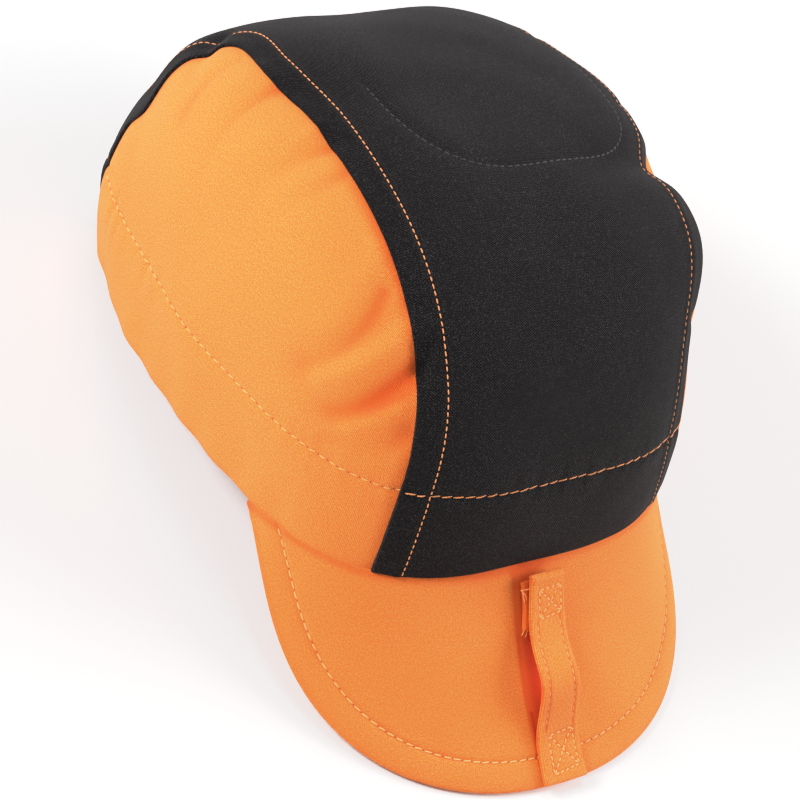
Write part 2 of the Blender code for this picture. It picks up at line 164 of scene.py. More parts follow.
# Across is a share of CROWN_SIDE, angle turns from the front over the top to the back in
# degrees, and reach, width and height are shares of CROWN_SIDE.
Swell = namedtuple("Swell", "name across angle reach height")
SWELLS = (
    Swell("back of the right side", -0.83, 184.0, 0.36, 0.052),
    Swell("hollow at the right back rim", -0.93, 208.0, 0.20, -0.030),
    Swell("right side above the ear", -1.00, -72.0, 0.26, 0.040),
    Swell("flat back of the top", 0.10, 141.0, 0.50, -0.052),
    Swell("right corner of the top", -0.60, 151.0, 0.14, 0.014),
    Swell("hollow behind that corner", -0.84, 155.0, 0.22, -0.026),
    Swell("left edge of the top", 0.74, 86.0, 0.26, 0.034),
    Swell("left brow", 0.78, 42.0, 0.22, 0.050),
    Swell("left temple hollow", 0.80, 18.0, 0.26, -0.046),
)
Fold = namedtuple("Fold", "name across angle to_across to_angle width height to_height")
FOLDS = (
    Fold("crease before the top", 0.84, 64.0, 0.30, 62.0, 0.085, -0.064, -0.010),
    Fold("right temple", -0.62, 31.0, -0.90, 17.0, 0.060, -0.030, -0.006),
    Fold("right cheek", -0.68, 15.0, -0.82, 8.0, 0.050, -0.014, -0.004),
    Fold("right brow", -0.65, 39.0, -0.92, 29.0, 0.070, -0.014, -0.010),
    Fold("right top", -0.66, 84.0, -0.86, 87.0, 0.075, -0.016, -0.004),
    Fold("right back of the top", -0.64, 104.0, -0.86, 109.0, 0.075, -0.014, -0.004),
    Fold("kink in the right back seam", -0.58, 140.0, -0.78, 136.0, 0.055, -0.030, -0.006),
)
# Finer folds, that the solids leave out
WRINKLES = (
    Fold("temple, sharp middle", -0.650, 26.6, -0.88, 15.6, 0.042, -0.031, -0.009),
    Fold("temple, upper ridge", -0.655, 36.5, -0.90, 25.0, 0.050, 0.018, 0.007),
    Fold("above the temple", -0.71, 44.0, -0.97, 23.0, 0.036, -0.015, -0.001),
    Fold("temple, second ridge", -0.68, 53.0, -0.96, 32.0, 0.050, 0.009, 0.001),
    Fold("temple, lower ridge", -0.67, 24.5, -0.84, 12.5, 0.036, 0.010, 0.003),
    Fold("beside the cheek seam", -0.690, 21.0, -0.71, 13.0, 0.040, -0.008, -0.004),
    Fold("below the temple", -0.74, 18.0, -0.92, 5.0, 0.030, -0.006, -0.003),
    Fold("on the strip at the temple", -0.64, 27.0, -0.46, 27.5, 0.045, -0.013, -0.002),
    Fold("right top, sharp", -0.65, 83.5, -0.88, 86.5, 0.036, -0.013, -0.002),
    Fold("right top ridge", -0.63, 90.0, -0.78, 88.5, 0.022, 0.007, 0.004),
    Fold("right top, second", -0.66, 74.0, -0.88, 73.0, 0.034, -0.009, -0.001),
    Fold("right back, sharp", -0.66, 108.5, -0.94, 113.5, 0.036, -0.013, -0.002),
    Fold("right back ridge", -0.64, 116.0, -0.86, 121.0, 0.035, 0.006, 0.002),
    Fold("right back, last", -0.66, 124.0, -0.88, 133.0, 0.030, -0.008, -0.004),
    Fold("left top, sharp", 0.72, 84.0, 0.86, 86.0, 0.028, -0.007, -0.003),
    Fold("left temple", 0.70, 27.0, 0.88, 17.0, 0.034, -0.010, -0.004),
    Fold("left back", 0.66, 118.0, 0.88, 124.0, 0.034, -0.008, -0.003),
    Fold("across the back", -0.55, 163.0, 0.45, 168.0, 0.060, -0.009, -0.006),
    Fold("back of the hem", -0.30, 188.0, 0.30, 184.0, 0.050, 0.006, 0.004),
)

# How far the worn strip's edges have shifted outwards. Each pair is the way from the front rim
# (0) to the back rim (1) and the shift as a share of CROWN_SIDE.
LEFT_SHIFT = ((0.00, 0.07), (0.10, 0.00), (0.18, 0.02), (0.25, 0.11), (0.33, 0.15), (0.38, 0.165),
              (0.45, 0.21), (0.54, 0.20), (0.66, 0.14), (0.80, 0.05), (1.00, 0.00))
RIGHT_SHIFT = ((0.00, 0.00), (0.50, 0.00), (0.61, 0.00), (0.69, -0.03), (0.735, 0.03), (0.77, 0.09),
               (0.80, 0.15), (0.845, 0.14), (0.88, 0.16), (0.92, 0.13), (1.00, 0.08))
# Half width of the strip from either rim (0) to the middle of the top (1)
STRIP_WIDTHS = ((0.00, 0.0581), (0.50, 0.0552), (1.00, 0.0539))

# Colours, and those of each thread in its dark and light streaks
BLACK_YARN = (0.0020, 0.0019, 0.0020)
BLACK_HIGH = (0.054, 0.051, 0.053)
ORANGE_YARN = (0.83, 0.245, 0.043)
# A darker orange of the weave's yarns, which is also the painted shade in creases and where shade falls
ORANGE_DEEP_YARN_AND_SHADE = (0.74, 0.085, 0.012)
ORANGE_HIGH = (0.90, 0.375, 0.100)
# Painted shadow: a darker red where the shade is deepest, mostly under and beside the pencil loop
PAINTED_SHADOW_RED = (0.60, 0.042, 0.006)
PEACH_THREAD = ((0.74, 0.22, 0.062), (0.84, 0.36, 0.14))
PALE_THREAD = ((0.90, 0.34, 0.085), (0.95, 0.50, 0.17))
DARK_THREAD = ((0.010, 0.009, 0.010), (0.05, 0.05, 0.05))
# Painted shade in the needle holes
NEEDLE_HOLE_SHADE = ((0.30, 0.035, 0.008), (0.30, 0.035, 0.008))
FLOOR_PAINT = ((0.95, 0.95, 0.95), (0.90, 0.90, 0.90))

# Light, and the tone of the picture: each pair is a share of the brightest white and how light
# it is shown. Red eases towards white sooner than green and blue.
SURROUND_LIGHT = 0.28
LAMP_TARGET = (0.0, 0.0, 0.05)
Lamp = namedtuple("Lamp", "name place size power")
LAMPS = (
    Lamp("key", (-1.25, 0.62, 1.05), 0.6, 37.5),
    Lamp("right", (1.40, -0.50, 0.80), 1.0, 35.0),
    Lamp("top", (0.10, 0.60, 1.6), 0.6, 8.0),
)
WHITE_LIGHT = 1.6
TONE = ((0.16, 0.262), (0.32, 0.515), (0.47, 0.735), (0.62, 0.835), (0.82, 0.895))
RED_TONE = ((0.02, 0.0212), (0.05, 0.052), (0.12, 0.122), (0.22, 0.222), (0.34, 0.345), (0.50, 0.58),
            (0.65, 0.74), (0.78, 0.84), (0.90, 0.91))


def smooth(share):
    """Ease from 0 to 1 as the share does: 3 squares less 2 cubes."""
    share = np.clip(share, 0.0, 1.0)
    return share * share * (3.0 - 2.0 * share)


def bell(distance, width):
    """1 on a line and next to nothing two widths away: e to the minus square."""
    return np.exp(-(distance / width) ** 2)


def rounding(distance, radius):
    """Quarter circle: 0 at an edge, 1 from one radius in from it."""
    return np.sqrt(1.0 - (1.0 - np.clip(distance / radius, 0.0, 1.0)) ** 2)


def unit(vectors):
    """Vectors of length 1."""
    return vectors / np.linalg.norm(vectors, axis=-1, keepdims=True)


def distance_along(line):
    """How far along a line each of its points lies."""
    return np.concatenate([[0.0], np.cumsum(np.linalg.norm(np.diff(line, axis=0), axis=1))])


def table_value(table, along):
    """A smooth curve through a table: a cubic between rows, with the rows' mean slopes."""
    places, values = np.array(table).T
    slopes = np.gradient(values, places)
    along = np.clip(along, places[0], places[-1])
    low = np.clip(np.searchsorted(places, along, side="right") - 1, 0, len(table) - 2)
    step = places[low + 1] - places[low]
    share = (along - places[low]) / step
    rise = share * share * (3.0 - 2.0 * share)
    leave = slopes[low] * share * (1.0 - share) ** 2
    arrive = slopes[low + 1] * share * share * (1.0 - share)
    return values[low] * (1.0 - rise) + values[low + 1] * rise + step * (leave - arrive)


def crown_extents(points):
    """How far the crown reaches on the side of its centre where each point lies."""
    fore = np.where(points[..., 1] < 0.0, CROWN_FRONT, CROWN_BACK)
    rise = np.where(points[..., 2] > 0.0, CROWN_ABOVE, CROWN_BELOW)
    return fore, rise


def profile_size(points):
    """1 on the crown's profile, seen from the side: a sum of powers of depth and height."""
    fore, rise = crown_extents(points)
    return np.abs(points[..., 1] / fore) ** PROFILE_POWER + np.abs(points[..., 2] / rise) ** PROFILE_POWER


def narrowing(across):
    """What a distance across leaves for the profile: 1 in the middle, 0 at the sides."""
    return np.clip(1.0 - np.abs(across / CROWN_SIDE) ** ACROSS_POWER, 0.0, 1.0)


def onto_crown(points):
    """Move points along their rays from the centre onto the crown, a superellipsoid."""
    side = np.abs(points[..., 0] / CROWN_SIDE) ** ACROSS_POWER
    size = side + profile_size(points) ** (ACROSS_POWER / PROFILE_POWER)
    return points / (size ** (1.0 / ACROSS_POWER))[..., None]


def crown_point(across, angle):
    """The point at a distance across and an angle from the front over the top, in radians."""
    ray = np.stack([0.0 * angle, -np.cos(angle), np.sin(angle)], axis=-1)
    length = narrowing(across) ** (1.0 / ACROSS_POWER) / profile_size(ray) ** (1.0 / PROFILE_POWER)
    point = ray * length[..., None]
    point[..., 0] = across
    return point


def level_share(height):
    """How far a height above the rim is from the widest level, as a share of the crown."""
    level = height - RIM_DROP
    return np.abs(level / np.where(level > 0.0, CROWN_ABOVE, CROWN_BELOW))


def ring_half_width(height):
    """Half the crown's width at a height above its rim."""
    return CROWN_SIDE * (1.0 - level_share(height) ** ACROSS_POWER) ** (1.0 / ACROSS_POWER)


def ring_depth(across, height, reach):
    """How far in front of or behind the centre the crown lies at a height above its rim."""
    profile = narrowing(across) ** (PROFILE_POWER / ACROSS_POWER) - level_share(height) ** PROFILE_POWER
    return reach * np.clip(profile, 0.0, None) ** (1.0 / PROFILE_POWER)


def ring_point(turn, height):
    """The crown at a height above its rim, at a turn from the front (0) over the left (90)."""
    across = ring_half_width(height) * np.sin(turn)
    reach = np.where(np.cos(turn) > 0.0, CROWN_FRONT, CROWN_BACK)
    depth = -np.sign(np.cos(turn)) * ring_depth(across, height, reach)
    return np.stack([across, depth, height - RIM_DROP + 0.0 * turn], axis=-1)


def strip_point(across, along):
    """The strip's surface at a distance across, from the front rim (0) to the back rim (1)."""
    start = np.arctan2(-RIM_DROP, ring_depth(across, 0.0, CROWN_FRONT))
    end = math.pi - np.arctan2(-RIM_DROP, ring_depth(across, 0.0, CROWN_BACK))
    return crown_point(across, start + (end - start) * along)


def strip_edge(side, along):
    """How far across the seam lies on one side (-1 or 1), at a share of the way along."""
    half = table_value(STRIP_WIDTHS, 2.0 * np.minimum(along, 1.0 - along))
    return side * (half + CROWN_SIDE * table_value(LEFT_SHIFT if side > 0 else RIGHT_SHIFT, along))


def cloth_normal(points):
    """Outward direction of the smooth crown, level at the rim so that the rim stays flat."""
    fore, rise = crown_extents(points)
    depth = np.abs(points[..., 1] / fore)
    height = np.abs(points[..., 2] / rise)
    side = np.abs(points[..., 0] / CROWN_SIDE)
    share = profile_size(points) ** (ACROSS_POWER / PROFILE_POWER - 1.0)
    normal = np.sign(points) * np.stack([
        side ** (ACROSS_POWER - 1.0) / CROWN_SIDE,
        share * depth ** (PROFILE_POWER - 1.0) / fore,
        share * height ** (PROFILE_POWER - 1.0) / rise,
    ], axis=-1)
    normal[..., 2] *= smooth((points[..., 2] + RIM_DROP) / UPRIGHT_HEIGHT)
    return unit(normal)


def fold_height(fold, points, legs=8):
    """Height of one fold: a ridge or valley with a bell-shaped section along its line."""
    share = np.linspace(0.0, 1.0, legs + 1)
    across = CROWN_SIDE * (fold.across + (fold.to_across - fold.across) * share)
    angle = np.radians(fold.angle + (fold.to_angle - fold.angle) * share)
    line = crown_point(across, angle)
    nearest = np.full(points.shape[:-1], np.inf)
    reached = np.zeros(points.shape[:-1])
    for leg in range(legs):
        run = line[leg + 1] - line[leg]
        way = np.clip(((points - line[leg]) @ run) / (run @ run), 0.0, 1.0)
        gap = ((points - line[leg] - way[..., None] * run) ** 2).sum(axis=-1)
        reached = np.where(gap < nearest, (leg + way) / legs, reached)
        nearest = np.minimum(gap, nearest)
    height = fold.height + (fold.to_height - fold.height) * reached
    return CROWN_SIDE * height * np.exp(-nearest / (fold.width * CROWN_SIDE) ** 2)


def swell_height(swell, points):
    """Height of one swell: a bell over the distance from its centre."""
    centre = crown_point(np.array(CROWN_SIDE * swell.across), np.array(math.radians(swell.angle)))
    gap = ((points - centre) ** 2).sum(axis=-1)
    return CROWN_SIDE * swell.height * np.exp(-gap / (swell.reach * CROWN_SIDE) ** 2)


def bulge(points):
    """How far the worn cloth stands out from the smooth crown."""
    swells = sum(swell_height(swell, points) for swell in SWELLS)
    return swells + sum(fold_height(fold, points) for fold in FOLDS)


def wrinkles(points):
    """The finer folds, and a slow ripple of a few plane waves through one another."""
    x, y, z = np.moveaxis(points, -1, 0)
    slow = np.sin(96.0 * x + 71.0 * z + 2.0 * np.sin(40.0 * y)) * np.sin(83.0 * y - 52.0 * z + 0.7)
    quick = np.sin(172.0 * z - 90.0 * y + 1.9 * np.sin(61.0 * x + 1.0)) * np.sin(131.0 * x + 96.0 * y)
    return sum(fold_height(fold, points) for fold in WRINKLES) + 0.00034 * slow + 0.00013 * quick


def line_gap(points, line):
    """Distance from each point to the nearest place on a line of many short legs."""
    run = line[1:] - line[:-1]
    square = (run ** 2).sum(axis=-1)
    flat = points.reshape(-1, 3)
    found = []
    for piece in np.array_split(flat, max(1, len(flat) // 3000)):
        away = piece[:, None] - line[None, :-1]
        way = np.clip((away * run).sum(axis=-1) / square, 0.0, 1.0)
        gap = ((away - way[..., None] * run) ** 2).sum(axis=-1)
        found.append(np.sqrt(gap.min(axis=1)))
    return np.concatenate(found).reshape(points.shape[:-1])


def seam_line(side, inset=0.0, count=261):
    """The seam, or a line beside it on the strip, from the front rim to the back rim."""
    along = np.linspace(0.0, 1.0, count)
    return strip_point(strip_edge(side, along) - side * inset, along)


def seam_gap(points):
    """Distance to the nearer seam."""
    return np.minimum(line_gap(points, seam_line(-1)), line_gap(points, seam_line(1)))


def hem_puckers(points, height):
    """Short waves along the band stitch, where its thread gathers the hem, fading 8 mm away."""
    turn = np.arctan2(points[..., 0], -points[..., 1])
    place = 0.09 * turn
    waves = np.sin(place / 0.00165 + 1.3 * np.sin(place / 0.0071)) * (
        0.6 + 0.4 * np.sin(place / 0.0117 + 0.8))
    waves += 0.7 * np.sin(place / 0.00087 + 2.0 * np.sin(place / 0.0043))
    right = np.exp(-((turn + 2.05) / 0.30) ** 2)
    gathers = np.sin(place / 0.00115 - 95.0 * (height - HEM_HEIGHT) + 1.4 * np.sin(place / 0.0031))
    gathers *= 0.5 + 0.5 * np.sin(place / 0.0052 + 60.0 * height + 1.3 * np.sin(place / 0.0021))
    low = 0.00034 * np.sin(place / 0.0031 + 0.6) * smooth(1.0 - height / 0.030) * (turn < -0.9)
    return (0.00013 * waves * bell(height - HEM_HEIGHT, 0.0062) + low
            + 0.00036 * right * gathers * bell(height - HEM_HEIGHT + 0.003, 0.0100))


def hem_relief(points):
    """The band stitch's groove, the fuller double hem below it, and its puckers."""
    height = points[..., 2] + RIM_DROP
    groove = -STITCH_DIP * bell(height - HEM_HEIGHT, 0.0010)
    full = HEM_PUFF * smooth((HEM_HEIGHT - height) / 0.004) * smooth(height / 0.006)
    return groove + full + hem_puckers(points, height)


def pad_size(across, onward):
    """1 on the pad's rounded outline, less inside it, from shares of its half sizes."""
    power = np.where(across > 0.0, 4.4, 3.0)
    return (np.abs(across) ** power + np.abs(onward) ** power) ** (1.0 / power)


def pad_relief(points):
    """The stitched pad on the top: a groove on its outline and a slight swell inside it."""
    across = points[..., 0] / CROWN_SIDE
    angle = np.degrees(np.arctan2(points[..., 2], -points[..., 1]))
    size = pad_size((across - PAD_CENTRE[0]) / PAD_HALF[0], (angle - PAD_CENTRE[1]) / PAD_HALF[1])
    gap = (size - 1.0) * 0.046
    sewn = smooth((106.0 - angle) / 12.0)
    return sewn * (0.00035 * smooth(-gap / 0.007) - 0.00032 * bell(gap, 0.0010))


def strip_relief(points, gap):
    """The strip's raised seam edges, with the groove of the stitch along each, and the hem."""
    welt = WELT_RISE * smooth((TOPSTITCH_INSET + 0.0022 - gap) / 0.0026)
    sag = -0.00022 * bell(gap - 0.5 * TOPSTITCH_INSET, 0.0022)
    groove = -STITCH_DIP * bell(gap - TOPSTITCH_INSET, 0.0009)
    return welt + sag + groove + hem_relief(points) + pad_relief(points) + wrinkles(points)


def side_relief(points, gap):
    """A side panel dips to its seam, where it goes under the strip, and has the same hem."""
    return hem_relief(points) + wrinkles(points) - SEAM_DIP * bell(gap, 0.0024)


def worn(points):
    """Lean the crown back and lift it until its rim is at height 0."""
    out = points.copy()
    out[..., 1] += CROWN_LEAN * points[..., 2]
    out[..., 2] += RIM_DROP
    return out


def raised(points, amount):
    """Worn points moved straight up, as the tilted cap stands, by an amount each."""
    return points + amount[..., None] * np.array([0.0, -math.sin(STAND_TILT), math.cos(STAND_TILT)])


def rested(points):
    """Flatten the back of the rim where it would reach below the floor."""
    below = np.clip(math.sin(STAND_TILT) * points[..., 1] - STAND_PLACE[2], 0.0, None)
    return raised(points, below * smooth(1.0 - points[..., 2] / REST_EASE))


def turned(vectors):
    """Directions of the worn cap, tilted nose up as it stands."""
    x, y, z = np.moveaxis(np.asarray(vectors, dtype=float), -1, 0)
    level, dip = math.cos(STAND_TILT), math.sin(STAND_TILT)
    return np.stack([x, y * level + z * dip, z * level - y * dip], axis=-1)


def standing(points):
    """Worn points, tilted nose up and set down where the cap stands, none below the floor."""
    placed = turned(points) + np.array(STAND_PLACE)
    placed[..., 2] = np.maximum(placed[..., 2], 0.0)
    return placed


def cloth_thickness(points):
    """One ply above the band stitch and the turned-up hem below it."""
    height = points[..., 2] + RIM_DROP
    return CLOTH + HEM_PLY * smooth((HEM_HEIGHT + HEM_STEP - height) / HEM_STEP)


def on_cloth(points, out):
    """Where the standing cap's cloth lies, a distance out from the worn crown's surface."""
    return standing(rested(worn(points + cloth_normal(points) * (bulge(points) + out)[..., None])))


def cloth_path(points, relief):
    """A line on the standing cap's cloth, with the cloth's outward direction along it."""
    normal = cloth_normal(points)
    normal[..., 2] -= CROWN_LEAN * normal[..., 1]
    return on_cloth(points, relief), turned(unit(normal))


def brim_length(way):
    """Length of the brim from root to edge, a rounded outline that closes at both ends."""
    return BRIM_LENGTH * (1.0 - np.abs(way) ** BRIM_OUTLINE_POWER) ** BRIM_END_POWER


def brim_top(way, out):
    """The brim's top at a way round the rim (-1 to 1) and a way out from root to edge: each
    ruling leaves the rim at its droop and curls up along an arc."""
    turn = way * BRIM_REACH
    rim = ring_point(turn, 0.0)
    step = 1e-4
    ahead = ring_point(turn + step, 0.0) - ring_point(turn - step, 0.0)
    heading = BRIM_SPLAY * np.arctan2(ahead[..., 1], ahead[..., 0]) + BRIM_YAW
    outward = np.stack([np.sin(heading), -np.cos(heading), 0.0 * heading], axis=-1)
    root = worn(rim + cloth_normal(rim) * bulge(rim)[..., None]) - CLEARANCE * outward
    root[..., 2] = -CLEARANCE
    droop = BRIM_DROOP_MIDDLE + (BRIM_DROOP_SIDE - BRIM_DROOP_MIDDLE) * way ** 2
    middle = droop + BRIM_CURL * (1.0 - out) / 2.0
    chord = brim_length(way) * out * np.sinc(BRIM_CURL * out / 2.0 / math.pi)
    point = root + outward * (chord * np.cos(middle))[..., None]
    point[..., 2] -= chord * np.sin(middle)
    return point


def brim_normal(way, out, step=1e-3):
    """Direction out of the worn brim's top."""
    round_rim = brim_top(way + step, out) - brim_top(way - step, out)
    return unit(np.cross(brim_top(way, out + step) - brim_top(way, out - step), round_rim))


def brim_rested(points, way, out):
    """Flatten the brim's edge, and what is sewn on it, where it would reach below the floor."""
    edge = brim_top(way, 1.0 + 0.0 * out)
    lowest = edge - brim_normal(way, 1.0 + 0.0 * out) * BRIM_THICK
    dip = lowest[..., 2] * math.cos(STAND_TILT) - lowest[..., 1] * math.sin(STAND_TILT)
    below = np.clip(-dip - STAND_PLACE[2], 0.0, None)
    span = np.linalg.norm(brim_top(way, out) - edge, axis=-1)
    return raised(points, below * smooth(1.0 - span / REST_EASE))


def on_brim(way, out, up):
    """Where the standing cap's brim lies, a distance up from its top."""
    points = brim_top(way, out) + brim_normal(way, out) * up[..., None]
    return standing(brim_rested(points, way, out))


def brim_edge_line(count=301):
    """The worn brim's edge as a line of short legs, from its right end to its left."""
    way = np.linspace(-BRIM_BLUNT, BRIM_BLUNT, count)
    return brim_top(way, 1.0 + 0.0 * way)


def brim_relief(points, gap):
    """The border outside the stitch is puffed, the stitch lies in a groove, the middle dents."""
    groove = -BRIM_STITCH_DIP * bell(gap - BRIM_STITCH_INSET, 0.0010)
    border = BRIM_PUFF * bell(gap - 0.5 * BRIM_STITCH_INSET, 0.0032)
    x, y, _ = np.moveaxis(points, -1, 0)
    place = np.arctan2(x, -y)
    waves = np.sin(place / 0.021 + 1.2 * np.sin(place / 0.09)) + 0.6 * np.sin(place / 0.0113 + 0.4)
    puckers = 0.00007 * waves * bell(gap - BRIM_STITCH_INSET, 0.0045)
    soft = 0.00026 * np.sin(92.0 * x + 40.0 * y + 1.0) * np.sin(77.0 * y + 31.0 * x)
    return groove + border + puckers + soft * smooth((gap - 0.004) / 0.01)


def spaced(length, step, fine, marks=()):
    """Places from 0 to a length: close to both ends and to the marks, else a step apart."""
    near = np.array([0.0, 0.06, 0.22, 0.48, 0.8, 1.2]) * 1e-3
    stops = np.linspace(near[-1], length - near[-1], max(2, int(round(length / step))))
    places = [near, length - near, stops[1:-1]]
    places += [mark + fine * np.arange(-7, 8) for mark in marks]
    every = np.sort(np.concatenate(places))
    every = every[(every >= 0.0) & (every <= length)]
    keep = [0]
    for place in range(1, len(every)):
        ends = every[place] < near[-1] + 1e-9 or every[place] > length - near[-1] - 1e-9
        close = any(abs(every[place] - mark) < 7.5 * fine for mark in marks)
        least = 1e-6 if ends else (0.9 * fine if close else 0.6 * step)
        if every[place] - every[keep[-1]] > least:
            keep.append(place)
    every = every[keep]
    every[-1] = length
    return every


def edge_places(inset):
    """Distances in from an edge, close together at it and at the stitch along it."""
    near = spaced(2.0 * EDGE_ROWS, 0.0009, 0.00045, (inset,))
    return near[near < EDGE_ROWS]


def grid_faces(rows, columns, start=0):
    """Corner numbers of the quads between the points of a grid."""
    corner = start + np.arange(rows * columns).reshape(rows, columns)
    ring = [corner[:-1, :-1], corner[1:, :-1], corner[1:, 1:], corner[:-1, 1:]]
    return np.stack(ring, axis=-1).reshape(-1, 4)


def shell_mesh(name, outer, inner, outline, flat, painted_shade_and_deep_red):
    """A closed body between two skins that meet on their outline, with its flat map and its
    painted shade, a deeper red in its creases and where shade falls."""
    inner[outline] = outer[outline]
    rows, columns = outer.shape[:2]
    under = grid_faces(rows, columns, rows * columns)[:, ::-1]
    points = np.concatenate([outer.reshape(-1, 3), inner.reshape(-1, 3)])
    mesh = bpy.data.meshes.new(name)
    mesh.from_pydata(points.tolist(), [], np.concatenate([grid_faces(rows, columns), under]).tolist())
    corner = np.empty(len(mesh.loops), dtype=np.int32)
    mesh.loops.foreach_get("vertex_index", corner)
    laid = np.concatenate([flat.reshape(-1, 2)] * 2)[corner]
    mesh.uv_layers.new(name="cloth_map").data.foreach_set("uv", laid.astype(np.float32).ravel())
    depth = np.concatenate([painted_shade_and_deep_red.ravel()] * 2).astype(np.float32)
    mesh.attributes.new("painted_shade_and_deep_red", "FLOAT", "POINT").data.foreach_set("value", depth)
    work = bmesh.new()
    work.from_mesh(mesh)
    bmesh.ops.remove_doubles(work, verts=work.verts, dist=1e-6)
    bmesh.ops.recalc_face_normals(work, faces=work.faces)
    work.to_mesh(mesh)
    work.free()
    mesh.shade_smooth()
    return mesh


def cloth_shell(name, points, relief, edge, flat, shade=0.0):
    """A panel's shell: the outer skin with its relief, the inner skin, and round edges.

    The edge is 0 on the panel's outline and 1 inside it. Both skins meet half way through the
    cloth on the outline, and part along a quarter circle."""
    thick = cloth_thickness(points)
    half = 0.5 * thick * (1.0 - edge)
    outer = on_cloth(points, relief - half)
    under = 0.6 * np.minimum(relief, 0.0) * edge
    inner = on_cloth(points, (relief * (1.0 - edge) + under) - thick + half)
    # Painted shade: a deeper red in the valleys of the relief and of three of the larger folds, or the shade
    # given for the panel, whichever is more.
    folded = sum(fold_height(fold, points) for fold in FOLDS[1:4])
    valley_shade = np.clip(-(relief + 0.5 * folded) / 0.0020, 0.0, 1.0)
    return shell_mesh(name, outer, inner, edge < 1e-6, flat, np.maximum(valley_shade, shade))


def strip_mesh():
    """The black strip from the front rim to the back rim, its edges lapping the side panels."""
    along = np.linspace(0.0, 1.0, 1201)
    passed = distance_along(worn(strip_point(0.0 * along, along)))
    length = passed[-1]
    places = spaced(length, 0.00125, 0.0005, (HEM_HEIGHT, length - HEM_HEIGHT))
    along = np.interp(places, passed, along)[:, None]
    right = strip_edge(-1, along)
    left = strip_edge(1, along)
    near = edge_places(TOPSTITCH_INSET)
    middle = np.linspace(0.0, 1.0, 74)[None, :]
    inside = right + EDGE_ROWS + (left - right - 2.0 * EDGE_ROWS) * middle
    across = np.concatenate([right + near[None, :], inside, left - near[None, ::-1]], axis=1)
    gap = np.minimum(across - right, left - across)
    points = strip_point(across, along + 0.0 * across)
    way = places[:, None] + 0.0 * across
    edge = rounding(gap, 0.0006) * rounding(np.minimum(way, length - way), 0.0009)
    flat = np.stack([across, way], axis=-1)
    return cloth_shell("centre_panel_cloth", points, strip_relief(points, gap), edge, flat)


def seam_crossing(side, height, front):
    """Where a seam meets a height above the rim: its turn, and its way along the strip."""
    along = np.linspace(0.0, 0.3, 301) if front else np.linspace(1.0, 0.7, 301)
    seam = strip_point(strip_edge(side, along) - side * SEAM_LAP, along)
    place = np.interp(height, seam[:, 2] + RIM_DROP, along)
    across = np.abs(np.interp(height, seam[:, 2] + RIM_DROP, seam[:, 0]))
    turn = np.arcsin(across / ring_half_width(np.asarray(height)))
    return (turn if front else math.pi - turn), place


def side_flat(points):
    """A side panel laid flat: each point keeps its direction and its distance over the cloth
    from the middle of the side, where the crown is widest."""
    reach = np.hypot(points[..., 1], points[..., 2])
    share = np.linspace(0.0, 1.0, 25)[:, None, None]
    narrow = (share ** PROFILE_POWER * profile_size(points)) ** (ACROSS_POWER / PROFILE_POWER)
    across = CROWN_SIDE * np.clip(1.0 - narrow, 0.0, 1.0) ** (1.0 / ACROSS_POWER)
    steps = np.hypot(np.diff(across, axis=0), reach / 24.0)
    scale = steps.sum(axis=0) / np.maximum(reach, 1e-9)
    return points[..., 1:] * scale[..., None]


def side_mesh(name, side):
    """A side panel: its hem in level rows, and above the band stitch rows that run up to the
    seam from front to back."""
    low = spaced(2.0 * HEM_HEIGHT, 0.0013, 0.0005, (HEM_HEIGHT,))
    low = low[low <= HEM_HEIGHT + 1e-9]
    low[-1] = HEM_HEIGHT
    high = spaced(0.086, 0.00115, 0.0005, (0.0,))[1:] / 0.086
    share = spaced(0.21, 0.00118, 0.0005)[:, None] / 0.21
    front, front_along = seam_crossing(side, low, True)
    back, back_along = seam_crossing(side, low, False)
    turn = side * (front + (back - front) * share)
    hem = ring_point(turn, low[None, :] + 0.0 * turn)
    along = front_along[-1] + (back_along[-1] - front_along[-1]) * share[:, 0]
    seam = strip_point(strip_edge(side, along) - side * SEAM_LAP, along)
    rise = high[None, :, None]
    above = onto_crown(hem[:, -1:] * (1.0 - rise) + seam[:, None] * rise)
    points = np.concatenate([hem, above], axis=1)
    gap = line_gap(points, seam_line(side, SEAM_LAP))
    height = points[..., 2] + RIM_DROP
    edge = rounding(gap, 0.0005) * rounding(height, 0.0009)
    edge[:, -1] = 0.0
    edge[[0, -1]] = 0.0
    relief = side_relief(points, np.maximum(gap - SEAM_LAP, 0.0)) - 0.00035 * smooth(1.0 - gap / SEAM_LAP)
    # Painted shade: a patchy deeper red beside the seam, where the strip's raised edge shades the panel, and
    # along the rim above the brim.
    patchy = 0.7 + 0.5 * np.sin(61.0 * points[..., 2] + 1.2) * np.sin(47.0 * points[..., 1] + 0.4)
    shade = 0.80 * patchy * bell(gap, 0.0042) + 0.35 * bell(height, 0.0030)
    return cloth_shell(name, points, relief, edge, side_flat(points), shade)


def brim_places():
    """Ways round the rim, and ways out that crowd to the edge, its stitch line and the root."""
    way = BRIM_BLUNT * np.sin(np.linspace(-1.0, 1.0, 271) * 1.32) / math.sin(1.32)
    length = brim_length(way)[:, None]
    scale = np.minimum(1.0, 0.6 * length / EDGE_ROWS)
    outer = 1.0 - edge_places(BRIM_STITCH_INSET)[None, :] * scale / length
    share = np.concatenate([[0.0, 0.002, 0.008, 0.02], np.linspace(0.04, 1.0, 58)])[:-1]
    tuck = -BRIM_TUCK / length
    inner = tuck + share[None, :] * (outer[:, -1:] - tuck)
    out = np.concatenate([inner, outer[:, ::-1]], axis=1)
    return way[:, None] + 0.0 * out, out


